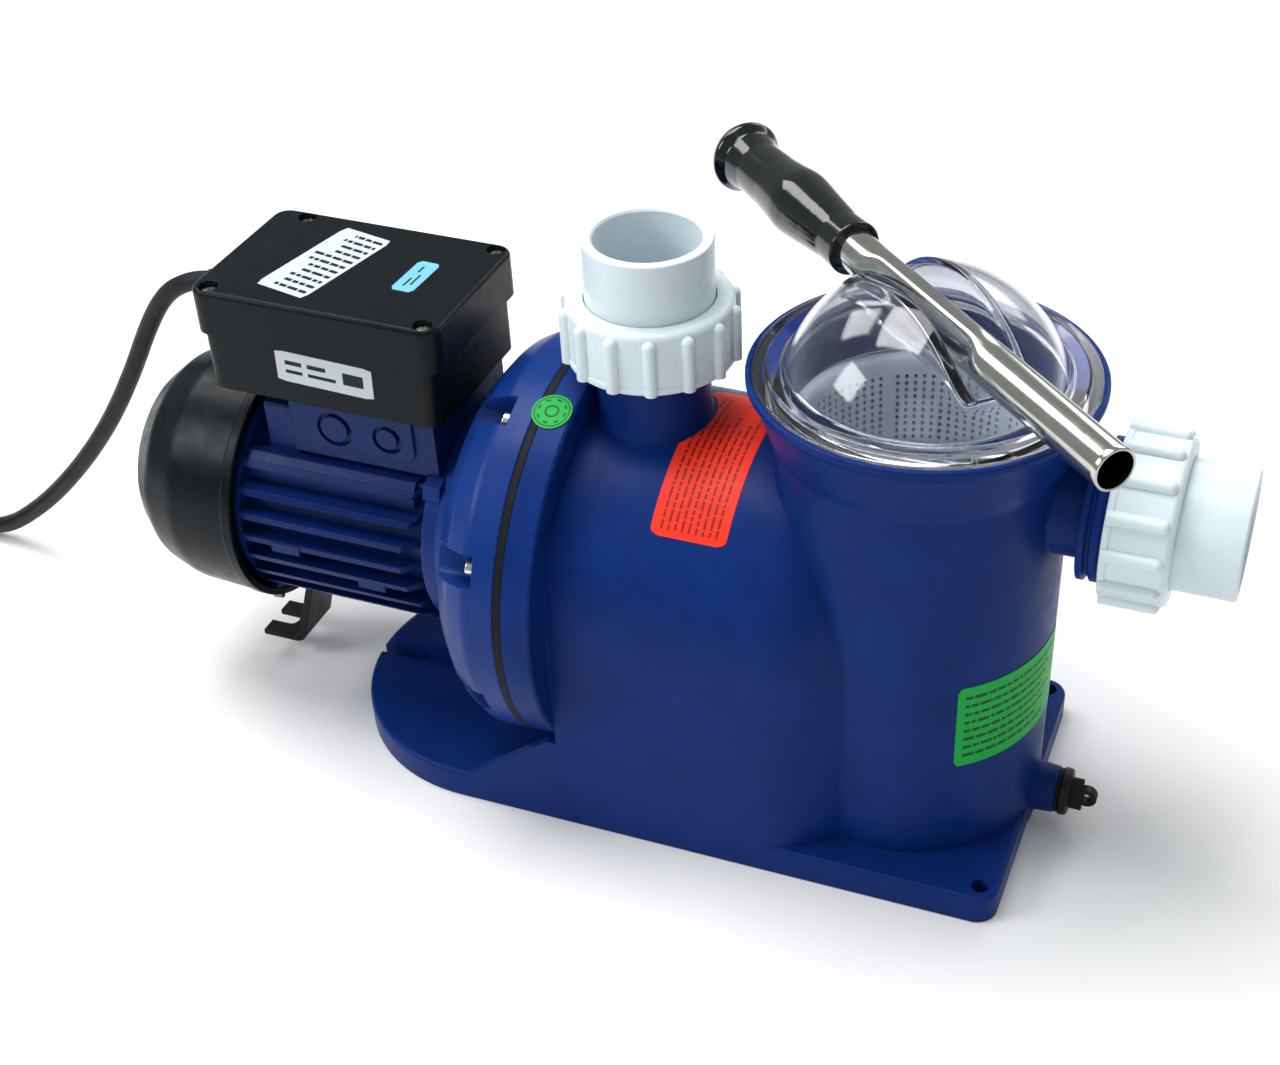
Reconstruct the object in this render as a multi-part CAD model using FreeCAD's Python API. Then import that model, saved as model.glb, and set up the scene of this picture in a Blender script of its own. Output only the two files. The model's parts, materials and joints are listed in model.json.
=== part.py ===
import FreeCAD, Part
import os
import math
from FreeCAD import Vector as V

# Self-priming pool pump with a strainer pot, clear lid, lid wrench, two
# D50 unions and a fan-cooled motor.  Millimetres.  +Z is up, +X is the
# suction end, Y=0 is the middle plane.  The origin is on the floor, under
# the axis of the discharge union.

# ---------------------------------------------------------------- sizes
ZM = 120.4            # height of the motor axis
HALF_W = 85.6         # half width of the base and of the wet-end casing
BASE_T = 16.0         # thickness of the base plate
BASE_X1 = 200.7       # suction end of the base plate
BASE_XC = -84.0       # centre of the round motor end of the base plate
BOLT_X, BOLT_Y, BOLT_R = 191.4, 76.3, 4.2      # base fixing holes
RING_R = 103.5        # casing ring and seal plate
RING_X0, RING_X1 = -40.5, -26.0
GASKET_T = 4.0
SEAL_X = RING_X0 - GASKET_T                    # wet face of the seal plate
SEAL_BACK = -98.0                              # hub face of the seal plate
FLANGE_BOLT_R = 93.0
POT_X = 133.0         # centre of the strainer pot
POT_R, POT_BORE = 69.0, 63.0
POT_MOUTH = 66.0
POT_TOP = 253.2
POT_RIM_R = 81.8
POT_FLOOR = 14.0
SUCTION_Z = 196.4     # height of the suction axis
SOCKET_R = 25.1       # bore of a D50 solvent-weld socket
TAIL_R = 30.5
THREAD_R = 33.3
NUT_R, RIB_R = 39.6, 3.2
N_RIB = 14
DISCH_Z = 253.0       # face of the discharge thread
SUCT_X = 240.0        # face of the suction thread
NUT_LEN0, NUT_LEN1 = -16.0, 14.7
TAIL_LEN = 44.6
FRAME_R, FRAME_IN = 51.0, 47.5
FIN_TIP_R = 60.0
FIN_PITCH, FIN_T = 12.5, 3.2
FRAME_X0, FRAME_X1 = -209.0, -107.0
COVER_R = 66.0
COVER_X0, COVER_X1 = -277.0, -208.5
BOX_X0, BOX_X1, BOX_Y = -219.4, -94.0, 42.6
BOX_Z0, BOX_Z1 = 198.5, 229.0
TLID_X0, TLID_X1, TLID_Y = -221.6, -90.2, 44.9
TLID_Z0, TLID_Z1 = 230.0, 253.6
TSCREWS = [(-212.6, -38.4), (-203.0, 38.8), (-98.0, 38.8), (-98.6, -38.6)]
DOME_R, DOME_ZC = 69.0, 231.5                  # lid dome, a ball cap
CHANNEL_H, CHANNEL_Z = 12.4, 271.0             # half width and floor of the wrench channel
WRENCH_Z = 282.0
WRENCH_ANG = -42.9                             # from +X, looking down
WRENCH_R = 10.0
WRENCH_U0, WRENCH_U1 = -168.0, 137.0
GRIP_U0, GRIP_U1 = -184.0, -66.0
CORD_R = 5.0
GLAND_Y, GLAND_Z = 25.0, 216.0
COIL_X, COIL_Y, COIL_RM = -546.0, -31.0, 51.0  # coil of put-away lead

EPS = 0.05
nodes = {}


def save(name, shape):
    nodes[name] = shape


# ------------------------------------------------------------- helpers
def box(x0, x1, y0, y1, z0, z1):
    return Part.makeBox(x1 - x0, y1 - y0, z1 - z0, V(x0, y0, z0))


def cx(r, x0, x1, y=0.0, z=ZM):
    return Part.makeCylinder(r, x1 - x0, V(x0, y, z), V(1, 0, 0))


def cy(r, y0, y1, x, z):
    return Part.makeCylinder(r, y1 - y0, V(x, y0, z), V(0, 1, 0))


def cz(r, z0, z1, x=0.0, y=0.0):
    return Part.makeCylinder(r, z1 - z0, V(x, y, z0), V(0, 0, 1))


def loop(pts, f):
    """closed wire through (a, b[, corner radius]) points, mapped by f"""
    n = len(pts)
    ends = []
    for i in range(n):
        p1 = pts[i]
        r = p1[2] if len(p1) > 2 else 0.0
        a1, b1 = p1[0], p1[1]
        if r <= 0:
            ends.append(((a1, b1), None, (a1, b1)))
            continue
        a0, b0 = pts[i - 1][0], pts[i - 1][1]
        a2, b2 = pts[(i + 1) % n][0], pts[(i + 1) % n][1]
        l0 = math.hypot(a0 - a1, b0 - b1)
        l2 = math.hypot(a2 - a1, b2 - b1)
        u = ((a0 - a1) / l0, (b0 - b1) / l0)
        w = ((a2 - a1) / l2, (b2 - b1) / l2)
        ang = math.acos(max(-1.0, min(1.0, u[0] * w[0] + u[1] * w[1])))
        t = r / math.tan(ang / 2)
        bis = (u[0] + w[0], u[1] + w[1])
        bl = math.hypot(*bis)
        bis = (bis[0] / bl, bis[1] / bl)
        d = r / math.sin(ang / 2)
        c = (a1 + bis[0] * d, b1 + bis[1] * d)
        ends.append(((a1 + u[0] * t, b1 + u[1] * t),
                     (c[0] - bis[0] * r, c[1] - bis[1] * r),
                     (a1 + w[0] * t, b1 + w[1] * t)))
    edges = []
    for i in range(n):
        a, m, b = ends[i]
        if m is not None:
            edges.append(Part.Arc(f(a), f(m), f(b)).toShape())
        nx = ends[(i + 1) % n][0]
        if math.hypot(nx[0] - b[0], nx[1] - b[1]) > 1e-6:
            edges.append(Part.makeLine(f(b), f(nx)))
    return Part.Wire(edges)


def revx(pts, y=0.0, z=ZM):
    w = loop(pts, lambda p: V(p[0], y, z + p[1]))
    return Part.Face(w).revolve(V(0, y, z), V(1, 0, 0), 360)


def revz(pts, x=0.0, y=0.0):
    w = loop(pts, lambda p: V(x + p[0], y, p[1]))
    return Part.Face(w).revolve(V(x, y, 0), V(0, 0, 1), 360)


def prz(pts, z0, z1):
    w = loop(pts, lambda p: V(p[0], p[1], z0))
    return Part.Face(w).extrude(V(0, 0, z1 - z0))


def pry(pts, y0, y1):
    w = loop(pts, lambda p: V(p[0], y0, p[1]))
    return Part.Face(w).extrude(V(0, y1 - y0, 0))


def prx(pts, x0, x1):
    w = loop(pts, lambda p: V(x0, p[0], p[1]))
    return Part.Face(w).extrude(V(x1 - x0, 0, 0))


def fuse(parts):
    s = parts[0]
    if len(parts) > 1:
        s = s.multiFuse(parts[1:])
    return s.removeSplitter()


def cut(s, tools):
    return s.cut(Part.makeCompound(tools)) if len(tools) > 1 else s.cut(tools[0])


def rot_x(s, deg, y=0.0, z=ZM):
    t = s.copy()
    t.rotate(V(0, y, z), V(1, 0, 0), deg)
    return t


def rot_z(s, deg, x=0.0, y=0.0):
    t = s.copy()
    t.rotate(V(x, y, 0), V(0, 0, 1), deg)
    return t


def rrect(x0, x1, y0, y1, r):
    return [(x0, y0, r), (x1, y0, r), (x1, y1, r), (x0, y1, r)]


def torus_z(rmaj, rmin, z, x=0.0, y=0.0):
    return Part.makeTorus(rmaj, rmin, V(x, y, z), V(0, 0, 1))


def torus_x(rmaj, rmin, x, y=0.0, z=ZM):
    return Part.makeTorus(rmaj, rmin, V(x, y, z), V(1, 0, 0))


def compound(items):
    return Part.makeCompound(items)


def hexagon_x(af, x0, x1, y, z, turn=0.0):
    r = af / math.sqrt(3.0)
    pts = [(y + r * math.cos(math.radians(60 * k + turn)), z + r * math.sin(math.radians(60 * k + turn))) for k in range(6)]
    return prx(pts, x0, x1)


def hexagon_z(af, z0, z1, x, y, turn=0.0):
    r = af / math.sqrt(3.0)
    pts = [(x + r * math.cos(math.radians(60 * k + turn)), y + r * math.sin(math.radians(60 * k + turn))) for k in range(6)]
    return prz(pts, z0, z1)


def round_edges(s, r, pick):
    es = [e for e in s.Edges if pick(e)]
    if not es:
        return s
    try:
        t = s.makeFillet(r, es)
        if t.isValid() and t.Volume > 0.5 * s.Volume:
            return t
    except Exception:
        pass
    print("fillet skipped", r, len(es))
    return s


FB = [22.5 + 45 * k for k in range(8)]          # flange bolt angles
TIE_ANGLES = (45, 135, 225, 315)                   # tie rods, turned from +Y
COVER_SCREWS = (0, 150, 260)                    # turned from the top, about the motor axis


def on_circle(r, deg):
    return (r * math.cos(math.radians(deg)), ZM + r * math.sin(math.radians(deg)))


# ------------------------------------------------------- pump housing
def make_housing():
    plate = prz([(BASE_XC, -HALF_W), (BASE_X1, -HALF_W, 11), (BASE_X1, HALF_W, 11), (BASE_XC, HALF_W)], 0, BASE_T)
    end = cz(HALF_W, 0, BASE_T, BASE_XC, 0)
    plate = fuse([plate, end])
    plate = round_edges(plate, 2.2, lambda e: abs(e.BoundBox.ZMin - BASE_T) < 1e-3 and abs(e.BoundBox.ZMax - BASE_T) < 1e-3)
    prof = [(RING_X1, HALF_W), (92.0, HALF_W, 45.0), (126.0, 60.0), (POT_X, 58.0)]
    plan = [(p[0], -p[1]) + p[2:] for p in prof] + [(p[0], p[1]) + p[2:] for p in reversed(prof)]
    skirt = prz(plan, 1.0, ZM)
    arch = revx([(RING_X1, 0)] + prof + [(POT_X, 0)])
    ring = revx([(RING_X0, 0), (RING_X0, RING_R), (RING_X1, RING_R, 1.5), (RING_X1, 0)])
    pot = revz([(0, 1.0), (POT_R, 1.0), (POT_R, 218.5, 8), (72.2, 226.0, 4), (79.4, 247.0, 5), (POT_RIM_R, 249.6, 1.5),
                (POT_RIM_R, POT_TOP, 1.0), (0, POT_TOP)], POT_X, 0)
    neck = revz([(0, 180), (29.4, 180), (29.4, 204.0, 2), (27.4, 209.0, 4), (27.0, 238.0), (THREAD_R, 238.0), (THREAD_R, DISCH_Z, 1.0), (0, DISCH_Z)])
    pipe = revx([(180, 0), (180, 26.0), (204, 24.6, 20), (212.6, 24.6), (212.6, 33.9, .6), (215.8, 33.9, .6), (216.6, 31.8), (218.0, 31.8),
                 (218.8, 33.9, .6), (222.0, 33.9, .6), (222.8, THREAD_R), (SUCT_X, THREAD_R, 1.0), (SUCT_X, 0)], 0, SUCTION_Z)
    boss = revx([(190, 0), (190, 13.0), (200, 13.0, 2), (213, 12.0, 1.2), (213, 0)], 0, 17.6)
    walls = []
    for s in (-1, 1):
        y0, y1 = (-HALF_W, -HALF_W + 5.0) if s < 0 else (HALF_W - 5.0, HALF_W)
        walls.append(pry([(-20, 10), (-88, 10), (-79, BASE_T - 0.2), (-31, 53.0), (-20, 53.0)], y0, y1))
    block = prz([(-163.6, -4.3), (-150.0, -4.3), (-112.0, -4.3, 6), (-112.0, 44.0, 8), (-151.0, 44.0, 6), (-159.5, 16.0, 10)], 1.0, BASE_T + 7.6)
    block = round_edges(block, 1.2, lambda e: abs(e.BoundBox.ZMin - BASE_T - 7.6) < 1e-3)
    h = fuse([plate, skirt, arch, ring, pot, neck, pipe, boss] + walls + [block])
    tools = []
    # volute chamber, open to the gasket face
    tools.append(revx([(RING_X0 - 1, 0), (RING_X0 - 1, 78.0), (12.0, 78.0, 10), (20.0, 60.0, 6), (20.0, 0)]))
    # suction eye between pot and chamber, with the seat of the diffuser nose
    tools.append(cx(21.0, 15, 90))
    tools.append(cx(25.0, 15, 30))
    # discharge passage
    tools.append(cz(SOCKET_R - 4.0, 175, DISCH_Z + 1))
    # strainer pot: bore, mouth, O-ring groove, lid recess
    tools.append(revz([(0, POT_FLOOR), (POT_BORE, POT_FLOOR, 12), (POT_BORE, 222.0), (POT_MOUTH, 222.0), (POT_MOUTH, 249.9),
                       (73.2, 249.9), (73.2, 245.7), (77.8, 245.7), (77.8, 249.9), (79.4, 249.9), (79.4, POT_TOP + 1), (0, POT_TOP + 1)], POT_X, 0))
    # suction passage and drain
    tools.append(cx(SOCKET_R - 4.0, 185, SUCT_X + 1, 0, SUCTION_Z))
    tools.append(cx(5.0, 190, 214, 0, 19.4))
    tools.append(cx(8.0, 200.0, 214, 0, 17.6))
    # O-ring grooves in the two thread faces
    tools.append(revz([(26.9, DISCH_Z - 2.4), (30.1, DISCH_Z - 2.4), (30.1, DISCH_Z + 1), (26.9, DISCH_Z + 1)]))
    tools.append(revx([(SUCT_X - 2.4, 26.9), (SUCT_X - 2.4, 30.1), (SUCT_X + 1, 30.1), (SUCT_X + 1, 26.9)], 0, SUCTION_Z))
    # base fixing holes, motor-end slot, flange bolt inserts
    for s in (-1, 1):
        tools.append(cz(BOLT_R, -1, BASE_T + 1, BOLT_X, s * BOLT_Y))
    tools.append(prz(rrect(-185.0, -139.5, -11.4, -4.4, 3.4), -1, BASE_T + 1))
    for a in FB:
        y, z = on_circle(FLANGE_BOLT_R, a)
        tools.append(cx(4.6, RING_X0 - 1, RING_X0 + 11.5, y, z))
    # material saved under the volute, open to the floor
    for s in (-1, 1):
        y0, y1 = (8, 74) if s > 0 else (-74, -8)
        tools.append(box(30, 56, y0, y1, -1, 92))
    h = cut(h, tools)
    save("pump_housing", h)


def make_wet_end():
    # gasket, inserts and bolts of the flange joint
    g = revx([(SEAL_X, 79.0), (SEAL_X, RING_R + 0.2, .4), (RING_X0, RING_R + 0.2, .4), (RING_X0, 79.0)])
    g = cut(g, [cx(3.3, SEAL_X - 1, RING_X0 + 1, *on_circle(FLANGE_BOLT_R, a)) for a in FB])
    save("housing_gasket", g)
    ins, bolts = [], []
    for a in FB:
        y, z = on_circle(FLANGE_BOLT_R, a)
        ins.append(cx(4.6, RING_X0, RING_X0 + 11.5, y, z).cut(cx(3.0, RING_X0 - 1, RING_X0 + 12, y, z)))
        head = revx([(-56.0, 0), (-56.0, 5.0), (-62.4, 5.0, .7), (-62.4, 0)], y, z)
        sock = hexagon_x(5.0, -63.4, -59.0, y, z)
        shank = cx(3.0, -56.0, RING_X0 + 10.0, y, z)
        bolts.append(fuse([head.cut(sock), shank]))
    save("flange_inserts", compound(ins))
    save("flange_bolts", compound(bolts))
    # seal plate
    p = revx([(SEAL_X, 19.0), (SEAL_X, 103.7, .8), (-60.5, 103.7, 9), (-72.5, 97.2, 14), (-82.0, 85.5, 14), (-88.5, 70.0, 16), (-93.0, 60.5, 5),
              (SEAL_BACK, 58.5), (SEAL_BACK, 52.0), (-57.0, 50.0, 4), (-57.0, 27.0, 2), (-66.0, 27.0), (-66.0, 19.0)])
    tools = []
    for a in FB:
        pk = prx([(-8.2, 84.6), (8.2, 84.6), (8.2, 120.0), (-8.2, 120.0)], -110.0, -56.0)
        pk = pk.translated(V(0, 0, ZM)) if hasattr(pk, "translated") else pk
        pk = round_edges(pk, 4.0, lambda e: abs(e.BoundBox.ZMin - ZM - 84.6) < 1e-3 and abs(e.BoundBox.ZMax - ZM - 84.6) < 1e-3 and e.BoundBox.XLength > 10)
        tools.append(rot_x(pk, a - 90))
        y, z = on_circle(FLANGE_BOLT_R, a)
        tools.append(cx(3.2, -57, SEAL_X + 1, y, z))
    # annular relief on the wet side, outside the diffuser
    tools.append(revx([(SEAL_X + 1, 73.0), (SEAL_X + 1, 78.0), (-50.0, 77.0, 2), (-50.0, 74.0, 2)]))
    # shallow pocket of the seal seat
    tools.append(cx(21.5, -53.0, SEAL_X + 1))
    p = cut(p, tools)
    save("seal_plate", p)
    # diffuser
    d = revx([(SEAL_X, 66.0), (SEAL_X, 71.5), (-40.0, 71.5), (4.0, 71.5, 3), (4.0, 24.6), (26.0, 24.6), (26.0, 21.6), (0.0, 21.6), (0.0, 66.0, 2)])
    slots = []
    for k in range(9):
        b = box(-40.5, -4.0, -3.2, 3.2, 60.0, 80.0)
        b = b.translated(V(0, 0, ZM))
        slots.append(rot_x(b, 40 * k + 12))
    d = cut(d, slots)
    save("diffuser", d)
    # impeller: two shrouds with curved vanes between, threaded hub
    back = revx([(-31.0, 7.02), (-31.0, 60.0), (-28.4, 60.0), (-28.4, 16.0, 3), (-22.0, 12.6), (-11.0, 12.0), (-11.0, 7.02)])
    hubback = revx([(-37.4, 7.02), (-37.4, 11.8), (-31.0, 13.5), (-31.0, 7.02)])
    front = revx([(-18.4, 60.0), (-15.8, 60.0), (-15.0, 27.0, 4), (-8.0, 21.0), (3.0, 20.6), (3.0, 18.2), (-10.0, 18.4), (-17.6, 25.5, 4)])
    vanes = []
    for k in range(6):
        pts = []
        for j in range(5):
            t = j / 4.0
            r = 20.0 + 39.0 * t
            a = math.radians(60 * k - 75 * t)
            pts.append((r, a))
        outer = [(r * math.cos(a), r * math.sin(a)) for r, a in pts]
        inner = [((r) * math.cos(a + 2.4 / r), (r) * math.sin(a + 2.4 / r)) for r, a in reversed(pts)]
        w = Part.makePolygon([V(-30.0, y, ZM + z) for y, z in outer + inner] + [V(-30.0, outer[0][0], ZM + outer[0][1])])
        vanes.append(Part.Face(w).extrude(V(14.0, 0, 0)))
    cutter = revx([(-15.9, 0), (-15.9, 70), (20, 70), (20, 0)]).cut(revx([(-31, 0), (-31, 61), (-16, 61), (-15.2, 27.0), (-10, 21), (-10, 0)]))
    vs = [v.cut(cutter) for v in vanes]
    imp = fuse([back, hubback, front] + vs)
    save("impeller", imp)
    nut = fuse([hexagon_x(12.0, -10.9, -3.5, 0, ZM), revx([(-4.0, 0), (-4.0, 5.8), (-1.0, 5.2, 2.5), (1.0, 0)])]).cut(cx(5.0, -12, -6))
    save("impeller_nut", nut)
    # mechanical seal: seat, rotary head, spring
    seat = revx([(-52.9, 7.6), (-52.9, 19.0), (-52.0, 21.4), (-46.5, 21.4, 1), (-46.5, 17.0), (-45.0, 16.0), (-45.0, 10.0), (-47.0, 7.6)])
    save("seal_seat", seat)
    head = fuse([revx([(-44.9, 7.05), (-44.9, 14.5, .6), (-42.4, 14.5, .6), (-42.4, 7.05)]),
                 revx([(-42.4, 7.05), (-42.4, 11.0, .4), (-41.2, 11.0), (-41.2, 7.05)])])
    save("seal_rotary_head", head)
    coils = [torus_x(9.3, 0.42, -41.2 + 0.5 + 1.15 * k) for k in range(3)]
    links = [cx(0.34, -40.6, -39.6, 0, ZM + 9.3), cx(0.34, -39.5, -38.4, 0, ZM - 9.3)]
    pipe = fuse(coils + links)
    save("seal_spring", pipe)


# ------------------------------------------------------------- unions
def union(face, axis, base):
    """nut, tail and O-ring of one union; face is the thread face, axis 'z' or 'x'"""
    def rv(pts):
        if axis == "z":
            return revz([(r, face + s) + tuple(q) for s, r, *q in pts])
        return revx([(face + s, r) + tuple(q) for s, r, *q in pts], 0, SUCTION_Z)

    def rib(k):
        if axis == "z":
            c = Part.makeCylinder(RIB_R, 24.6, V(NUT_R + 0.2, 0, face - 15.4), V(0, 0, 1))
            b = Part.makeSphere(RIB_R, V(NUT_R + 0.2, 0, face + 9.2))
            t = c.fuse(b)
            t.rotate(V(0, 0, 0), V(0, 0, 1), 360.0 / N_RIB * k + 8)
        else:
            c = Part.makeCylinder(RIB_R, 24.6, V(face - 15.4, 0, SUCTION_Z + NUT_R + 0.2), V(1, 0, 0))
            b = Part.makeSphere(RIB_R, V(face + 9.2, 0, SUCTION_Z + NUT_R + 0.2))
            t = c.fuse(b)
            t.rotate(V(0, 0, SUCTION_Z), V(1, 0, 0), 360.0 / N_RIB * k + 8)
        return t
    nut = rv([(NUT_LEN0, THREAD_R + 0.35), (NUT_LEN0, 40.2, .8), (-13.0, 40.2, .8), (-12.4, NUT_R), (NUT_LEN1, NUT_R, 3.4), (NUT_LEN1, 30.95, .5),
              (5.2, 30.95), (5.2, THREAD_R + 0.35)])
    ribs = [rib(k) for k in range(N_RIB)]
    core = rv([(-20, 0), (-20, 36.0), (30, 36.0), (30, 0)])
    ribs = [r.cut(core) for r in ribs]
    nut = fuse([nut] + ribs)
    tail = rv([(0.7, 22.0), (0.7, 32.7), (4.5, 32.7), (4.8, TAIL_R), (TAIL_LEN, TAIL_R, 1.0), (TAIL_LEN, SOCKET_R + 0.9), (TAIL_LEN - 1.2, SOCKET_R), (12.6, SOCKET_R),
               (12.6, 22.0)])
    if axis == "z":
        ring = torus_z(28.5, 1.5, face - 0.86)
    else:
        ring = torus_x(28.5, 1.5, face - 0.86, 0, SUCTION_Z)
    save(base + "_union_nut", nut)
    save(base + "_union_tail", tail)
    save(base + "_union_o_ring", ring)


# ------------------------------------------------- strainer lid, basket
def make_strainer():
    o = torus_z(75.5, 2.2, 247.95, POT_X, 0)
    save("lid_o_ring", o)
    ball = Part.makeSphere(DOME_R, V(POT_X, 0, DOME_ZC))
    keep = cz(64.6, 254.0, 310.0, POT_X, 0)
    dome = ball.common(keep)
    chan = box(POT_X - 90, POT_X + 90, -CHANNEL_H, CHANNEL_H, CHANNEL_Z, 320)
    chan = rot_z(chan, WRENCH_ANG, POT_X, 0)
    dome = dome.cut(chan)
    dome = round_edges(dome, 4.0, lambda e: e.BoundBox.ZMax > 285.0)
    flange = revz([(58.0, 250.2), (79.0, 250.2, .4), (79.0, 254.4, .8), (73.4, 254.4), (72.4, 256.2, .6), (65.6, 256.2), (64.2, 257.6), (58.0, 257.6)], POT_X, 0)
    skirt = revz([(61.8, 226.4), (65.6, 226.4), (65.6, 251.0), (61.8, 251.0)], POT_X, 0)
    outer = fuse([dome, flange, skirt])
    inner = Part.makeSphere(DOME_R - 3.0, V(POT_X, 0, DOME_ZC)).common(cz(61.6, 225, 310, POT_X, 0))
    inner = inner.fuse(cz(61.8, 225.0, 252.0, POT_X, 0))
    ich = box(POT_X - 90, POT_X + 90, -CHANNEL_H - 3, CHANNEL_H + 3, CHANNEL_Z - 3, 320)
    ich = rot_z(ich, WRENCH_ANG, POT_X, 0)
    inner = inner.cut(ich)
    inner = inner.cut(box(0, 300, -200, 200, 200, 226.0))
    lid = outer.cut(inner)
    save("strainer_lid", lid)
    # basket
    wall = revz([(0, 62.0), (53.0, 62.0, 4), (59.0, 214.0), (59.6, 222.0), (65.4, 222.0), (65.4, 225.2, .8), (59.0, 225.2, 1.5), (56.9, 214.0), (51.0, 64.4, 3), (0, 64.4)], POT_X, 0)
    tools = []
    for k in range(24):
        if k == 0:
            continue
        s = box(40, 70, -2.2, 2.2, 74.0, 205.0)
        s.translate(V(POT_X, 0, 0))
        tools.append(rot_z(s, 15 * k, POT_X, 0))
    s = box(40, 70, -2.2, 2.2, 74.0, 165.0)
    s.translate(V(POT_X, 0, 0))
    tools.append(s)
    tools.append(cx(22.0, POT_X + 30, POT_X + 80, 0, SUCTION_Z))
    for k in range(8):
        tools.append(rot_z(box(POT_X + 14, POT_X + 44, -2.5, 2.5, 60, 66), 45 * k, POT_X, 0))
    wall = cut(wall, tools)
    save("strainer_basket", wall)


def make_wrench():
    def place(s):
        t = s.copy()
        t.rotate(V(0, 0, 0), V(0, 0, 1), WRENCH_ANG)
        t.translate(V(POT_X, 0, WRENCH_Z))
        return t

    def ring_wire(x, w, h):
        # stadium section, half width w along Y, half height h along Z
        if abs(h - w) < 1e-3:
            n = 0.0
        n = h - w
        if n < 0.02:
            n = 0.02
        p = [V(x, w, -n), V(x, w, n), V(x, 0, n + w), V(x, -w, n), V(x, -w, -n), V(x, 0, -n - w)]
        return Part.Wire([Part.makeLine(p[0], p[1]), Part.Arc(p[1], p[2], p[3]).toShape(), Part.makeLine(p[3], p[4]), Part.Arc(p[4], p[5], p[0]).toShape()])

    def tube(wall):
        r = WRENCH_R - wall
        a = Part.makeLoft([ring_wire(WRENCH_U0, r, r + .02), ring_wire(-52.0, r, r + .02)], True, True)
        b = Part.makeLoft([ring_wire(-52.0, r, r + .02), ring_wire(-34.0, 6.4 - wall, 10.9 - wall)], True, True)
        c = Part.makeLoft([ring_wire(-34.0, 6.4 - wall, 10.9 - wall), ring_wire(34.0, 6.4 - wall, 10.9 - wall)], True, True)
        d = Part.makeLoft([ring_wire(34.0, 6.4 - wall, 10.9 - wall), ring_wire(52.0, r, r + .02)], True, True)
        e = Part.makeLoft([ring_wire(52.0, r, r + .02), ring_wire(WRENCH_U1, r, r + .02)], True, True)
        s = a.multiFuse([b, c, d, e])
        return s
    t = tube(0.0).cut(tube(1.5))
    save("wrench_tube", place(t))
    g = [(GRIP_U0, 0), (GRIP_U0, 8.0, 2), (GRIP_U0 + 3.5, 16.0, 3), (GRIP_U0 + 9.0, 18.6, 3), (GRIP_U0 + 14.0, 15.0, 3), (GRIP_U0 + 24.0, 13.6, 8), (-140.0, 14.4, 30), (-118.0, 16.8, 40),
         (-96.0, 14.4, 40), (-80.0, 12.9, 20), (GRIP_U1, 13.4, 1.2), (GRIP_U1, 10.05), (WRENCH_U0, 10.05), (WRENCH_U0, 0)]
    w = loop(g, lambda p: V(p[0], 0, p[1]))
    grip = Part.Face(w).revolve(V(0, 0, 0), V(1, 0, 0), 360)
    save("wrench_grip", place(grip))


def make_drain():
    g = revx([(213.1, 8.0), (213.1, 11.4), (214.9, 11.4, .5), (214.9, 8.0)], 0, 17.6)
    save("drain_gasket", g)
    p = fuse([revx([(203.0, 0), (203.0, 7.2), (204.0, 7.9), (215.0, 7.9), (215.0, 12.4, .8), (219.6, 12.0, 1.5), (219.6, 0)], 0, 17.6),
              prx([(-2.2, 17.6 - 10.2, 2.0), (2.2, 17.6 - 10.2, 2.0), (2.2, 17.6 + 10.2, 2.0), (-2.2, 17.6 + 10.2, 2.0)], 219.0, 226.0),
              cy(5.4, -2.2, 2.2, 228.0, 17.6).cut(cy(2.6, -3, 3, 228.0, 17.6))])
    save("drain_plug", p)


# --------------------------------------------------------------- motor
def bearing(x0, x1, ro, rbo, rbi, ri, name, n, rb, rc):
    """deep-groove bearing: outer ring, inner ring, set of balls"""
    xm = (x0 + x1) / 2
    outer = revx([(x0, rbo), (x0, ro, .4), (x1, ro, .4), (x1, rbo)])
    inner = revx([(x0, ri), (x0, rbi), (x1, rbi), (x1, ri)])
    groove = torus_x(rc, rb + 0.03, xm)
    save(name + "_outer_ring", outer.cut(groove))
    save(name + "_inner_ring", inner.cut(groove))
    balls = []
    for k in range(n):
        a = math.radians(360.0 / n * k)
        balls.append(Part.makeSphere(rb, V(xm, rc * math.cos(a), ZM + rc * math.sin(a))))
    return balls


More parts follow.
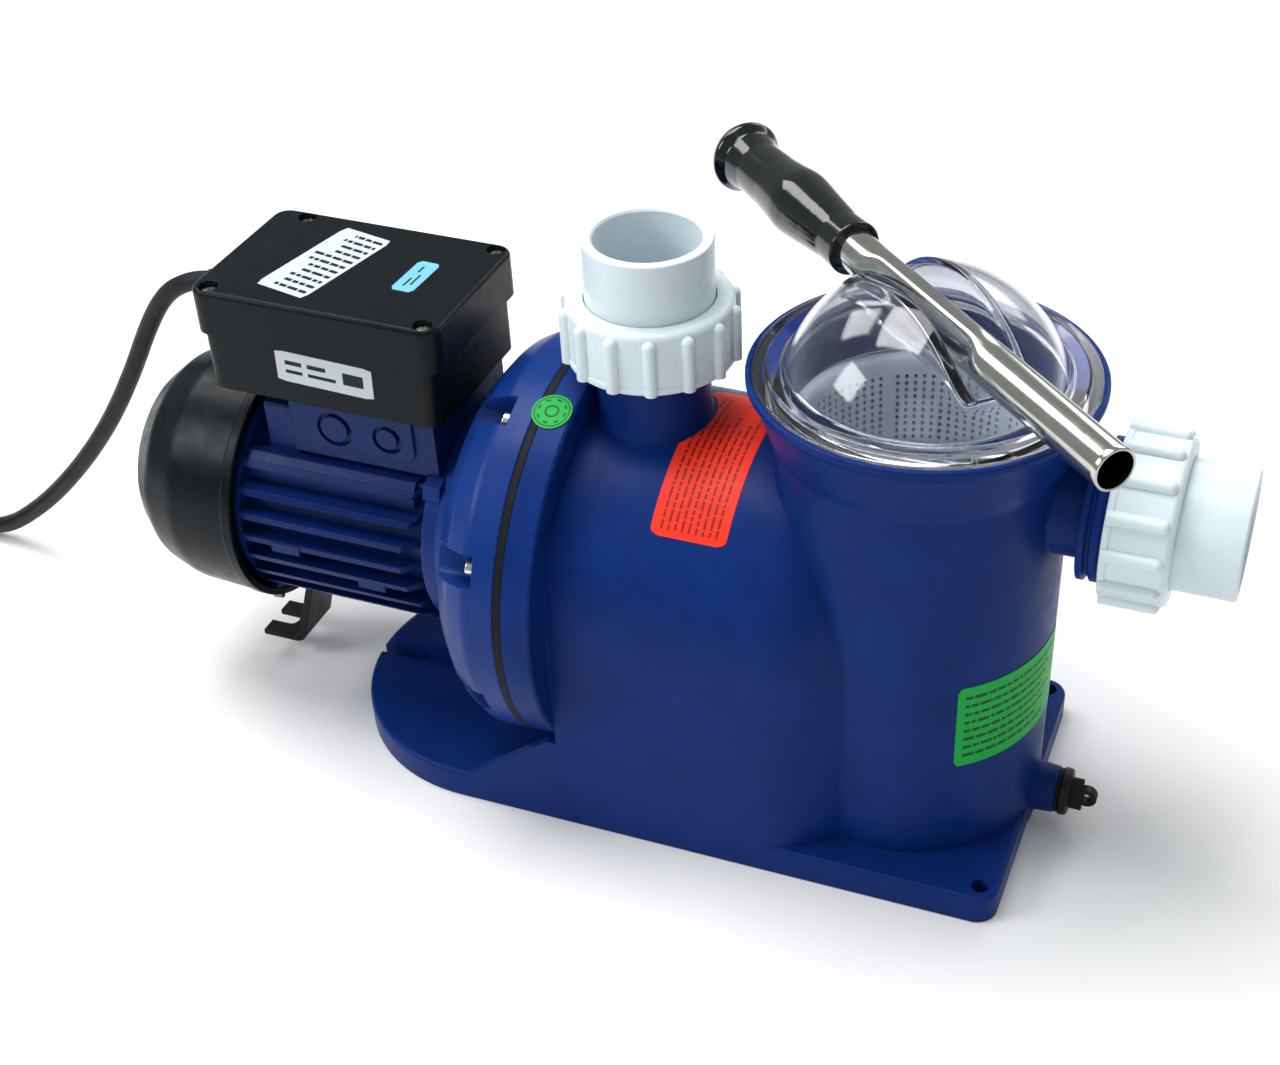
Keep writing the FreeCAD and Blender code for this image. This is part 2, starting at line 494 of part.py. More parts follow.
def make_motor():
    # rotor side
    shaft = revx([(-8.0, 0), (-8.0, 4.9), (-22.0, 4.9), (-22.0, 7.0), (-96.0, 7.0), (-96.0, 8.48), (-112.0, 8.48), (-112.0, 10.5), (-203.0, 10.5), (-203.0, 7.48), (-232.0, 7.48),
                  (-232.0, 6.0), (-260.0, 6.0, .6), (-260.0, 0)])
    shaft = shaft.cut(revx([(-256.0, 5.6), (-256.0, 7.0), (-254.7, 7.0), (-254.7, 5.6)]))
    save("rotor_shaft", shaft)
    core = revx([(-188.0, 10.5), (-188.0, 29.6), (-124.0, 29.6), (-124.0, 10.5)])
    ends = [revx([(-194.0, 15.0), (-194.0, 28.6, 1.5), (-188.0, 28.6), (-188.0, 15.0)]), revx([(-124.0, 15.0), (-124.0, 28.6), (-118.0, 28.6, 1.5), (-118.0, 15.0)])]
    save("rotor_core", fuse([core] + ends))
    stator = revx([(-188.0, 30.1), (-188.0, FRAME_IN), (-124.0, FRAME_IN), (-124.0, 30.1)])
    save("stator_core", stator)
    save("stator_windings", compound([revx([(-202.0, 32.0, 3), (-202.0, 45.0, 3), (-188.0, 45.0), (-188.0, 32.0)]),
                                      revx([(-124.0, 32.0), (-124.0, 45.0), (-111.0, 45.0, 3), (-111.0, 32.0, 3)])]))
    b1 = bearing(-109.0, -97.0, 20.0, 17.2, 11.8, 8.5, "front_bearing", 8, 2.66, 14.5)
    b2 = bearing(-216.0, -205.0, 17.5, 15.0, 10.4, 7.5, "rear_bearing", 8, 2.26, 12.7)
    save("bearing_balls", compound(b1 + b2))
    save("wave_washer", revx([(-110.2, 14.0), (-110.2, 19.6), (-109.2, 19.6), (-109.2, 14.0)]))
    # frame: tube, horizontal fins both sides, terminal pedestal, foot pad
    tube = revx([(FRAME_X0, FRAME_IN), (FRAME_X0, FRAME_R), (FRAME_X1, FRAME_R), (FRAME_X1, FRAME_IN)])
    fins = []
    env = cx(FIN_TIP_R, -207.5, -107.5)
    for k in range(-4, 4):
        zc = ZM + FIN_PITCH * k
        hw = math.sqrt(max(1.0, FIN_TIP_R ** 2 - (FIN_PITCH * abs(k)) ** 2))
        pts = [(-207.5, -hw - 2, 0), (-109.0, -hw - 2, 9), (-109.0, hw + 2, 9), (-207.5, hw + 2, 0)]
        f = prz([(p[0], p[1], p[2]) for p in pts], zc - FIN_T / 2, zc + FIN_T / 2).common(env)
        fins.append(f)
    # plan-rounded ends of the fins at the wet end
    slope = []
    for s in (-1, 1):
        slope.append(prz([(-118.0, s * 61.0), (-105.0, s * 61.0), (-105.0, s * 48.0)], 60.0, 200.0))
    fin = fuse(fins)
    fin = cut(fin, slope + [cx(FRAME_IN + 0.5, -210, -105)])
    pads = [box(-190.0, -174.0, -60.6, -54.0, ZM - 4.4, ZM + 1.0), box(-143.0, -128.0, -58.8, -52.0, ZM - 17.4, ZM - 11.2)]
    ped = prx([(-38.0, 166.0), (-38.0, BOX_Z0, 0), (38.0, BOX_Z0), (38.0, 166.0)], -180.0, -100.5)
    ped = ped.cut(cx(FRAME_IN + 0.5, -181, -100))
    ped = ped.cut(box(-172, -110, -26, 26, 160, 200))
    ledge = prx([(-46.0, 158.6), (-41.5, 163.0, 1.2), (-36.0, 163.0), (-36.0, 150.0), (-46.0, 150.0)], -205.0, -112.0)
    ledge2 = prx([(46.0, 158.6), (46.0, 150.0), (36.0, 150.0), (36.0, 163.0), (41.5, 163.0, 1.2)], -205.0, -112.0)
    panel = prx([(-36.0, 160.0), (-36.0, 190.0, 2), (36.0, 190.0, 2), (36.0, 160.0)], -196.0, -180.0).cut(cx(FRAME_IN + .5, -200, -170)).cut(box(-193, -181, -31, 31, 150, 186))
    padf = box(-206.0, -184.0, -13.0, 13.0, 62.0, 74.0)
    bosses = [cx(4.9, FRAME_X0, -112.0, *on_circle(54.6, a)) for a in (225, 315)]
    plates = []
    for s in (-1, 1):
        q = [(-169.0, 199.0), (-169.0, 172.4, 5), (-112.0, 172.4, 7), (-112.0, 199.0)]
        plates.append(pry(q, -39.4, -37.0) if s < 0 else pry(q, 37.0, 39.4))
    plates = [q.cut(box(-200, -90, -50, 50, BOX_Z0, 210)) for q in plates]
    frame = fuse([tube, fin, ped, ledge, ledge2, panel, padf] + pads + bosses + plates)
    tools = []
    for (kx, kr, kd) in ((-155.0, 9.6, 2.4), (-126.2, 8.0, 2.4)):
        tools.append(cy(kr, -40.0, -39.4 + kd, kx, 184.0).cut(cy(kr - 2.4, -40.0, -39.4 + kd, kx - 0.5, 184.0)))
        tools.append(cy(kr, 39.4 - kd, 40.0, kx, 184.0).cut(cy(kr - 2.4, 39.4 - kd, 40.0, kx - 0.5, 184.0)))
    for a in TIE_ANGLES:
        y, z = on_circle(54.6, a)
        tools.append(cx(2.9, -212, -100, y, z))
        tools.append(cx(8.2, FRAME_X1, -95, y, z))
    tools.append(cx(FRAME_IN, -212, -100))
    tools.append(cx(57.3, FRAME_X1, -95))
    tools.append(cz(2.5, 60, 73, -195.0, 0))
    frame = cut(frame, tools)
    save("motor_frame", frame)
    # end shields
    fs = [revx([(-107.0, 11.5), (-107.0, 57.0, 2), (SEAL_BACK, 57.0), (SEAL_BACK, 22.0), (-96.4, 22.0), (-96.4, 20.0), (-109.0, 20.0), (-109.0, 20.0), (-110.4, 20.0), (-110.4, 11.5)])]
    fs = [revx([(-107.0, 20.0), (-107.0, 57.0, 2), (SEAL_BACK, 57.0), (SEAL_BACK, 20.0)]),
          revx([(-112.0, 11.5), (-112.0, 24.0), (-107.0, 26.0), (-107.0, 20.0), (-110.4, 20.0), (-110.4, 11.5)])]
    for a in TIE_ANGLES:
        y, z = on_circle(54.6, a)
        lug = hexagon_x(13.0, -107.0, -97.9, y, z, a)
        fs.append(lug)
    sh = fuse(fs)
    sp = nodes["seal_plate"]
    sh = sh.cut(Part.makeCompound([cx(2.6, -112, -90, *on_circle(54.6, a)) for a in TIE_ANGLES]))
    sh = sh.cut(sp)
    save("front_end_shield", sh)
    rs = fuse([revx([(-214.0, 21.0), (-214.0, 57.0, 3), (FRAME_X0, 57.0), (FRAME_X0, 21.0)]),
               revx([(-218.0, 11.5), (-218.0, 21.0), (-204.5, 21.0), (-204.5, 17.5), (-216.2, 17.5), (-216.2, 11.5)])] +
              [rot_x(box(-213.6, -209.2, -7, 7, 50, 62.8).translated(V(0, 0, ZM)), a) for a in COVER_SCREWS])
    rs = cut(rs, [cx(2.6, -220, -200, *on_circle(54.6, a)) for a in TIE_ANGLES] +
             [rot_x(Part.makeCylinder(1.7, 12, V(-211.4, 0, ZM + 52), V(0, 0, 1)), a) for a in COVER_SCREWS])
    save("rear_end_shield", rs)
    rods = []
    for a in TIE_ANGLES:
        y, z = on_circle(54.6, a)
        rods.append(fuse([cx(2.5, -216.5, -98.4, y, z), hexagon_x(8.0, -218.6, -214.0, y, z, a)]))
    save("tie_rods", compound(rods))
    # fan and its clip
    hub = revx([(-236.0, 6.0), (-236.0, 11.0), (-254.6, 10.0), (-254.6, 6.0)])
    disc = revx([(-240.0, 10.0), (-238.0, 10.0), (-237.0, 50.0), (-239.0, 50.0)])
    bl = [rot_x(box(-256.0, -238.0, -0.9, 0.9, 9.5, 53.0).translated(V(0, 0, ZM)), 360.0 / 9 * k) for k in range(9)]
    fan = fuse([hub, disc] + bl).cut(cx(6.0, -260, -230))
    save("cooling_fan", fan)
    clip = revx([(-255.9, 5.7), (-255.9, 8.0), (-254.8, 8.0), (-254.8, 5.7)]).cut(box(-257, -254, -3, 3, ZM + 2, ZM + 12))
    save("fan_circlip", clip)
    # fan cover with rings and spokes at the back
    cov = revx([(COVER_X1, 63.4), (COVER_X1, COVER_R + .8, .6), (-213.6, COVER_R + .8, .6), (-214.4, COVER_R), (-246.0, 64.4, 22), (-263.0, 58.6, 14), (COVER_X0, 46.0, 7), (COVER_X0, 0),
                (COVER_X0 + 2.4, 0), (COVER_X0 + 2.4, 45.0, 6), (-262.0, 56.4, 12), (-246.0, 62.0, 20), (-214.0, 63.4)])
    tools = []
    for i in range(4):
        r0 = 12.0 + 8.2 * i
        ann = revx([(COVER_X0 - 1, r0), (COVER_X0 - 1, r0 + 4.6), (COVER_X0 + 4, r0 + 4.6), (COVER_X0 + 4, r0)])
        spokes = [rot_x(box(COVER_X0 - 2, COVER_X0 + 5, -2.0, 2.0, -60, 60).translated(V(0, 0, ZM)), 30 * k) for k in range(6)]
        tools.append(ann.cut(Part.makeCompound(spokes)))
    cov = cut(cov, tools + [rot_x(Part.makeCylinder(2.2, 20, V(-211.4, 0, ZM + 55), V(0, 0, 1)), a) for a in COVER_SCREWS])
    save("fan_cover", cov)
    scr = []
    for a in COVER_SCREWS:
        s = fuse([Part.makeCylinder(1.7, 14, V(-211.4, 0, ZM + 53), V(0, 0, 1)), Part.makeCylinder(3.2, 1.8, V(-211.4, 0, ZM + 66.8), V(0, 0, 1))])
        s = s.cut(box(-215, -208, -.5, .5, ZM + 67.6, ZM + 70))
        scr.append(rot_x(s, a))
    save("fan_cover_screws", compound(scr))
    # foot bracket: flange under the frame, sloping leg, slotted sole
    leg = pry([(-184.0, 59.0), (-184.0, 62.0), (-205.4, 62.0, 4), (-219.6, 14.0, 5), (-241.5, 14.0), (-241.5, 11.0), (-219.0 + 3.2, 11.0, 8), (-202.6, 59.0, 1.2)], -14.0, 14.0)
    leg = leg.cut(prz(rrect(-250.0, -227.0, -4.6, 4.6, 4.2), 0, 30)).cut(cz(2.7, 50, 70, -195.0, 0))
    save("motor_foot", leg)
    fscr = fuse([cz(2.45, 58.9, 72.0, -195.0, 0), hexagon_z(8.0, 55.2, 58.95, -195.0, 0)])
    save("foot_screw", fscr)


# -------------------------------------------------------- terminal box
def make_terminal_box():
    body = prz(rrect(BOX_X0, BOX_X1, -BOX_Y, BOX_Y, 7), BOX_Z0, BOX_Z1)
    cav = prz(rrect(BOX_X0 + 2.6, BOX_X1 - 2.6, -BOX_Y + 2.6, BOX_Y - 2.6, 5), BOX_Z0 + 2.6, BOX_Z1 + 1)
    body = body.cut(cav)
    inside = prz(rrect(BOX_X0, BOX_X1, -BOX_Y, BOX_Y, 7), BOX_Z0, BOX_Z1)
    posts = [cz(5.2, BOX_Z0, BOX_Z1, x, y).common(inside) for x, y in TSCREWS]
    body = fuse([body] + posts)
    tools = [cz(1.9, BOX_Z0 + 4, BOX_Z1 + 1, x, y) for x, y in TSCREWS]
    tools.append(cx(8.1, BOX_X0 - 1, BOX_X0 + 4, GLAND_Y, GLAND_Z))
    tools.append(cz(11.0, BOX_Z0 - 1, BOX_Z0 + 4, -140.0, 0))
    body = cut(body, tools)
    save("terminal_box", body)
    gk = prz(rrect(BOX_X0 + .3, BOX_X1 - .3, -BOX_Y + .3, BOX_Y - .3, 6.7), BOX_Z1, TLID_Z0).cut(
        prz(rrect(BOX_X0 + 2.6, BOX_X1 - 2.6, -BOX_Y + 2.6, BOX_Y - 2.6, 5), BOX_Z1 - 1, TLID_Z0 + 1))
    gk = cut(gk, [cz(2.1, BOX_Z1 - 1, TLID_Z0 + 1, x, y) for x, y in TSCREWS])
    save("terminal_lid_gasket", gk)
    lid = prz(rrect(TLID_X0, TLID_X1, -TLID_Y, TLID_Y, 8.5), TLID_Z0, TLID_Z1)
    lid = round_edges(lid, 2.6, lambda e: abs(e.BoundBox.ZMin - TLID_Z1) < 1e-3)
    outer = lid.copy()
    lid = lid.cut(prz(rrect(TLID_X0 + 3, TLID_X1 - 3, -TLID_Y + 3, TLID_Y - 3, 5.5), TLID_Z0 - 1, TLID_Z1 - 2.6))
    posts = [cz(6.4, TLID_Z0, TLID_Z1, x, y).common(outer) for x, y in TSCREWS]
    lid = fuse([lid] + posts)
    tools = []
    for x, y in TSCREWS:
        tools += [cz(4.8, TLID_Z1 - 4.2, TLID_Z1 + 1, x, y), cz(2.2, TLID_Z0 - 1, TLID_Z1, x, y)]
    lid = cut(lid, tools)
    save("terminal_lid", lid)
    scr = []
    for x, y in TSCREWS:
        s = fuse([cz(1.85, BOX_Z0 + 8, TLID_Z1 - 4.1, x, y), revz([(0, TLID_Z1 - 4.2), (4.0, TLID_Z1 - 4.2), (4.0, TLID_Z1 - 2.6, .7), (0, TLID_Z1 - 1.9)], x, y)])
        s = cut(s, [box(x - 2.6, x + 2.6, y - .45, y + .45, TLID_Z1 - 3.2, TLID_Z1), box(x - .45, x + .45, y - 2.6, y + 2.6, TLID_Z1 - 3.2, TLID_Z1)])
        scr.append(s)
    save("terminal_lid_screws", compound(scr))
    tb = box(-128.0, -106.0, -22.0, 22.0, BOX_Z0 + 2.6, BOX_Z0 + 17.0)
    tb = cut(tb, [cz(2.6, BOX_Z0 + 8, BOX_Z0 + 18, x, y) for x in (-122.5, -111.5) for y in (-16, -8, 0, 8, 16)] +
             [box(-129, -105, y - .6, y + .6, BOX_Z0 + 12, BOX_Z0 + 18) for y in (-12, -4, 4, 12)])
    save("terminal_block", tb)
    cap = fuse([revx([(-206.0, 0), (-206.0, 17.0, 1.5), (-150.0, 17.0, 1.5), (-150.0, 0)], -20.0, BOX_Z0 + 2.6 + 17.0 + 0.4),
                box(-150.2, -144.0, -26.0, -25.2, 215.0, 221.3), box(-150.2, -144.0, -14.8, -14.0, 215.0, 221.3)])
    save("run_capacitor", cap)
    gl = fuse([cx(8.05, BOX_X0, BOX_X0 + 6.0, GLAND_Y, GLAND_Z), hexagon_x(20.0, -223.0, BOX_X0, GLAND_Y, GLAND_Z), hexagon_x(19.0, BOX_X0 + 2.6, BOX_X0 + 6.0, GLAND_Y, GLAND_Z, 15)])
    gl = gl.cut(cx(CORD_R, -230, -200, GLAND_Y, GLAND_Z))
    gl = fuse([gl])
    save("cable_gland", gl)
    gn = fuse([revx([(-236.0, CORD_R), (-236.0, 8.4, 1.5), (-230.5, 10.4, 2), (-229.0, 10.4), (-229.0, CORD_R)], GLAND_Y, GLAND_Z),
               hexagon_x(19.0, -229.2, -223.0, GLAND_Y, GLAND_Z)]).cut(cx(CORD_R, -240, -200, GLAND_Y, GLAND_Z))
    save("gland_nut", gn)
    sl = revx([(-243.6, CORD_R), (-243.6, 6.1, .3), (-237.5, 7.6), (-236.0, 7.6), (-236.0, CORD_R)], GLAND_Y, GLAND_Z)
    sl = cut(sl, [cx(9, x, x + 1.3, GLAND_Y, GLAND_Z).cut(cx(6.0, x, x + 1.3, GLAND_Y, GLAND_Z)) for x in (-240.4,)])
    save("cord_bend_sleeve", sl)


# ------------------------------------------------------------ the lead
ROUTE = [(-217.0, 25.0, 216.0), (-253.0, 25.0, 216.0), (-272.5, 25.1, 212.0), (-289.5, 25.2, 201.0), (-305.0, 25.4, 178.5), (-322.0, 25.6, 147.0), (-346.0, 25.9, 108.5),
         (-376.0, 26.3, 70.5), (-412.0, 26.8, 33.5), (-451.0, 27.3, 5.2), (-497.0, 27.5, 5.1), (COIL_X, 25.2, 5.1)]
TAIL = [(COIL_X - COIL_RM - 4.8, COIL_Y - 2.0, 15.2), (COIL_X - COIL_RM - 6.0, COIL_Y - 34.0, 16.4), (COIL_X - COIL_RM - 6.0, COIL_Y - 66.0, 18.7)]


def arc_path(pts):
    """straight runs joined by arcs as large as the shorter run allows"""
    P = [V(*p) for p in pts]
    edges, radii = [], []
    last = P[0]
    for i in range(1, len(P) - 1):
        a, b, c = P[i - 1], P[i], P[i + 1]
        u = (a - b).normalize()
        w = (c - b).normalize()
        turn = math.pi - math.acos(max(-1, min(1, u.dot(w))))
        t = 0.45 * min((a - b).Length, (c - b).Length)
        r = t / math.tan(turn / 2)
        radii.append(round(r, 1))
        p0, p1 = b + u * t, b + w * t
        bis = (u + w).normalize()
        m = b + bis * (r / math.cos(turn / 2) - r)
        if (p0 - last).Length > 1e-6:
            edges.append(Part.LineSegment(last, p0).toShape())
        edges.append(Part.Arc(p0, m, p1).toShape())
        last = p1
    edges.append(Part.LineSegment(last, P[-1]).toShape())
    return Part.Wire(edges), radii


def sweep(pts, r):
    w, radii = arc_path(pts)
    e = w.Edges[0]
    t = e.tangentAt(e.FirstParameter)
    sec = Part.Wire([Part.makeCircle(r, w.Edges[0].valueAt(e.FirstParameter), t)])
    s = w.makePipeShell([sec], True, True)
    want = math.pi * r * r * w.Length
    print("cord", round(w.Length, 1), "radii", radii, "volume ratio", round(s.Volume / want, 4))
    return s


def make_cord():
    s1 = sweep(ROUTE, CORD_R)
    s2 = sweep(TAIL, CORD_R)
    save("power_cord", compound([s1, s2]))
    ring = revz([(COIL_RM - 10.2, 0.05, 4.5), (COIL_RM + 10.2, 0.05, 4.5), (COIL_RM + 10.2, 20.3, 4.5), (COIL_RM - 10.2, 20.3, 4.5)], COIL_X, COIL_Y)
    tie_out = box(-9.0, 9.0, -12.2, 12.2, 0.0, 21.8)
    tie_in = box(-10.0, 10.0, -10.7, 10.7, 0.0, 20.4)
    a = -50.0
    def put(s):
        t = s.copy()
        t.translate(V(0, COIL_RM, 0))
        t.rotate(V(0, 0, 0), V(0, 0, 1), a)
        t.translate(V(COIL_X, COIL_Y, 0))
        return t
    tie = put(tie_out).cut(put(tie_in)).cut(ring)
    save("cord_coil", ring)
    save("cord_tie", tie)
    px, py, pz = TAIL[-1]
    # plug: round moulded body with two side flats and two pins, laid along -Y
    body = Part.Face(loop([(0, 0), (6.2, 0), (9.0, 14, 4), (18.4, 22, 5), (18.4, 44.0, 2.5), (0, 44.0)], lambda p: V(p[0], p[1], 0))).revolve(V(0, 0, 0), V(0, 1, 0), 360)
    body = body.cut(cy(CORD_R, -1, 6, 0, 0))
    for s in (-1, 1):
        body = body.cut(box(16.9 if s > 0 else -30, 30 if s > 0 else -16.9, 30, 46, -4.5, 4.5))
        body = body.cut(cy(2.4, 38, 45, s * 9.5, 0))
    body.rotate(V(0, 0, 0), V(0, 0, 1), 180)
    body.translate(V(px, py + 6.0, pz))
    save("mains_plug", body)
    pins = []
    for s in (-1, 1):
        q = Part.makeCylinder(2.4, 25.0, V(s * 9.5, 38, 0), V(0, 1, 0))
        q.rotate(V(0, 0, 0), V(0, 0, 1), 180)
        q.translate(V(px, py + 6.0, pz))
        pins.append(q)
    save("plug_pins", compound(pins))


make_housing()
make_wet_end()
union(DISCH_Z, "z", "discharge")
union(SUCT_X, "x", "suction")
make_strainer()
make_wrench()
make_drain()
make_motor()
make_terminal_box()
make_cord()

os.makedirs("parts", exist_ok=True)
for name in sorted(nodes):
    shape = nodes[name]
    solids = shape.Solids
    bad = [round(s.Volume, 3) for s in solids if not s.isValid() or s.Volume <= 0]
    if len(solids) == 1:
        shape = solids[0]
    bb = shape.BoundBox
    print("%-22s solids %2d vol %10.1f box %s %s" % (name, len(solids), shape.Volume, [round(v, 1) for v in (bb.XMin, bb.YMin, bb.ZMin)], [round(v, 1) for v in (bb.XMax, bb.YMax, bb.ZMax)]), "INVALID" if bad else "")
    shape.exportStep("parts/%s.step" % name)
print(len(nodes), "nodes")
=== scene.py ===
import math
import json
import bpy
from mathutils import Matrix, Vector
from mathutils.bvhtree import BVHTree


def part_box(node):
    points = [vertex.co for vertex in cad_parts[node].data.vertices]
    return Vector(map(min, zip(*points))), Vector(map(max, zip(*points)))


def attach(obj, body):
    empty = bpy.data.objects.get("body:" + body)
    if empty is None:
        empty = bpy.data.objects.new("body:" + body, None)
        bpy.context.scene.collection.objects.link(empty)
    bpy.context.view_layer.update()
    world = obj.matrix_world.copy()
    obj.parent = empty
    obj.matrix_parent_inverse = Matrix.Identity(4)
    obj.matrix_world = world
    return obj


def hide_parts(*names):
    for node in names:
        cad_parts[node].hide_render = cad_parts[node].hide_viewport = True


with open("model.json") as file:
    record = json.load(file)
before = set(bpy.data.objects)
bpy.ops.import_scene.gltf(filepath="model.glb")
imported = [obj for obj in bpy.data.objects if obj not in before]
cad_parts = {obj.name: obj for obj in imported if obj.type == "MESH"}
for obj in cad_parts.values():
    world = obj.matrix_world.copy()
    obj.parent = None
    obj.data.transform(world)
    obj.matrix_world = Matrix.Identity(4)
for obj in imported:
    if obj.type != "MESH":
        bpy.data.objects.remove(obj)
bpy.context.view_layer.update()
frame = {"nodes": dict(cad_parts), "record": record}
NODES = frame["nodes"]
SC = bpy.context.scene
MM = 0.001


def link(o):
    SC.collection.objects.link(o)
    return o


# ------------------------------------------------------------ camera
cam_data = bpy.data.cameras.new("camera")
cam = link(bpy.data.objects.new("camera", cam_data))
FWD = Vector((-0.2541, 0.7485, -0.6125)).normalized()
RGT = FWD.cross(Vector((0, 0, 1))).normalized()
UPV = RGT.cross(FWD).normalized()
rot = Matrix((RGT, UPV, -FWD)).transposed().to_4x4()
cam.matrix_world = Matrix.Translation((0.31109, -0.72128, 0.71317)) @ rot
cam_data.sensor_fit = "HORIZONTAL"
cam_data.sensor_width = 36.0
cam_data.lens = 1936.82 / 1280 * 36.0
cam_data.shift_x = -(786.17 - 640.0) / 1280
cam_data.shift_y = (569.97 - 532.5) / 1280
cam_data.clip_start = 0.02
cam_data.clip_end = 30.0
SC.camera = cam

# ------------------------------------------------------------ materials


def new_mat(name):
    m = bpy.data.materials.new(name)
    m.use_nodes = True
    nt = m.node_tree
    nt.nodes.clear()
    out = nt.nodes.new("ShaderNodeOutputMaterial")
    b = nt.nodes.new("ShaderNodeBsdfPrincipled")
    nt.links.new(b.outputs[0], out.inputs[0])
    return m, nt, b


def noise_node(nt, vec, scale, detail=4.0, rough=0.55):
    n = nt.nodes.new("ShaderNodeTexNoise")
    n.inputs["Scale"].default_value = scale
    n.inputs["Detail"].default_value = detail
    n.inputs["Roughness"].default_value = rough
    nt.links.new(vec, n.inputs["Vector"])
    return n.outputs["Fac"]


def remap(nt, src, a, b, lo=0.3, hi=0.7):
    n = nt.nodes.new("ShaderNodeMapRange")
    n.inputs["From Min"].default_value = lo
    n.inputs["From Max"].default_value = hi
    n.inputs["To Min"].default_value = a
    n.inputs["To Max"].default_value = b
    nt.links.new(src, n.inputs["Value"])
    return n.outputs["Result"]


def surface(name, col, rough, metal=0.0, var=0.10, var_scale=35.0, rvar=0.06, grain=2e-5, grain_scale=1400.0, bevel=0.0, coat=0.0, coat_rough=0.1,
            spec=0.5, stretch=None, turn=0.0, alt=None, alt_scale=160.0, trans=0.0, ior=1.5, wave=0.0, wave_scale=60.0):
    """a moulded, painted or metal surface: colour that drifts, roughness that drifts, a fine grain and soft edges"""
    m, nt, b = new_mat(name)
    tc = nt.nodes.new("ShaderNodeTexCoord")
    vec = tc.outputs["Object"]
    if stretch:
        mp = nt.nodes.new("ShaderNodeMapping")
        mp.inputs["Rotation"].default_value = (0, 0, turn)
        mp.inputs["Scale"].default_value = stretch
        nt.links.new(vec, mp.inputs["Vector"])
        vec = mp.outputs["Vector"]
    drift = noise_node(nt, vec, var_scale, 5.0, 0.6)
    ramp = nt.nodes.new("ShaderNodeValToRGB")
    ramp.color_ramp.elements[0].position = 0.32
    ramp.color_ramp.elements[1].position = 0.68
    dark = [c * (1 - var) for c in col]
    light = [min(1.0, c * (1 + var)) for c in col]
    if alt:
        light = list(alt)
    ramp.color_ramp.elements[0].color = (*dark, 1)
    ramp.color_ramp.elements[1].color = (*light, 1)
    nt.links.new(drift, ramp.inputs["Fac"])
    speck = noise_node(nt, vec, var_scale * 9, 3.0, 0.6)
    mix = nt.nodes.new("ShaderNodeMix")
    mix.data_type = "RGBA"
    mix.blend_type = "MULTIPLY"
    mix.inputs["Factor"].default_value = 1.0
    gain = nt.nodes.new("ShaderNodeValToRGB")
    gain.color_ramp.elements[0].position = 0.3
    gain.color_ramp.elements[1].position = 0.7
    g0, g1 = 1 - var * 0.7, 1.0
    gain.color_ramp.elements[0].color = (g0, g0, g0, 1)
    gain.color_ramp.elements[1].color = (g1, g1, g1, 1)
    nt.links.new(speck, gain.inputs["Fac"])
    nt.links.new(ramp.outputs["Color"], mix.inputs["A"])
    nt.links.new(gain.outputs["Color"], mix.inputs["B"])
    nt.links.new(mix.outputs["Result"], b.inputs["Base Color"])
    wear = noise_node(nt, vec, var_scale * 2.3, 4.0, 0.6)
    nt.links.new(remap(nt, wear, max(0.02, rough - rvar), min(1.0, rough + rvar)), b.inputs["Roughness"])
    b.inputs["Metallic"].default_value = metal
    b.inputs["Specular IOR Level"].default_value = spec
    b.inputs["Coat Weight"].default_value = coat
    b.inputs["Coat Roughness"].default_value = coat_rough
    b.inputs["IOR"].default_value = ior
    if trans:
        b.inputs["Transmission Weight"].default_value = trans
    fine = noise_node(nt, vec, grain_scale, 2.0, 0.5)
    bp = nt.nodes.new("ShaderNodeBump")
    bp.inputs["Strength"].default_value = 1.0
    bp.inputs["Distance"].default_value = grain
    nt.links.new(fine, bp.inputs["Height"])
    last = bp
    if wave:
        slow = noise_node(nt, vec, wave_scale, 2.0, 0.5)
        b2 = nt.nodes.new("ShaderNodeBump")
        b2.inputs["Strength"].default_value = 1.0
        b2.inputs["Distance"].default_value = wave
        nt.links.new(slow, b2.inputs["Height"])
        nt.links.new(b2.outputs["Normal"], bp.inputs["Normal"])
        last = b2
    if bevel:
        bv = nt.nodes.new("ShaderNodeBevel")
        bv.samples = 4
        bv.inputs["Radius"].default_value = bevel
        nt.links.new(bv.outputs["Normal"], last.inputs["Normal"])
    nt.links.new(bp.outputs["Normal"], b.inputs["Normal"])
    return m


M = {}
M["housing_blue"] = surface("housing_blue", (0.0034, 0.0250, 0.160), 0.38, var=0.14, var_scale=26, rvar=0.07, grain=2.2e-5, grain_scale=900, bevel=0.0012, spec=0.09, wave=1.2e-4, wave_scale=42)
# painted light: plate_blue is the housing's own plastic, given a lighter blue than housing_blue to stand for the light
# falling on the plate's face
M["plate_blue"] = surface("plate_blue", (0.0048, 0.0320, 0.190), 0.33, var=0.12, var_scale=26, rvar=0.06, grain=2e-5, grain_scale=900, bevel=0.0012, spec=0.15, wave=1.0e-4, wave_scale=42)
M["motor_paint"] = surface("motor_paint", (0.0030, 0.0165, 0.108), 0.31, var=0.12, var_scale=40, rvar=0.08, grain=5e-5, grain_scale=520, bevel=0.0005, spec=0.16)
M["end_shield_alu"] = surface("end_shield_alu", (0.0042, 0.0290, 0.175), 0.35, var=0.12, var_scale=50, grain=5e-5, grain_scale=620, bevel=0.0006, spec=0.16)
M["black_plastic"] = surface("black_plastic", (0.0026, 0.0056, 0.0080), 0.32, var=0.20, var_scale=45, rvar=0.08, grain=2.6e-5, grain_scale=1100, bevel=0.0009, spec=0.14)
M["black_rubber"] = surface("black_rubber", (0.0060, 0.0068, 0.0078), 0.60, var=0.22, var_scale=90, grain=3e-5, grain_scale=1500, bevel=0.0004, spec=0.16)
M["white_pvc"] = surface("white_pvc", (0.72, 0.82, 0.86), 0.30, var=0.035, var_scale=30, rvar=0.06, grain=1.6e-5, grain_scale=900, bevel=0.0007, spec=0.32)
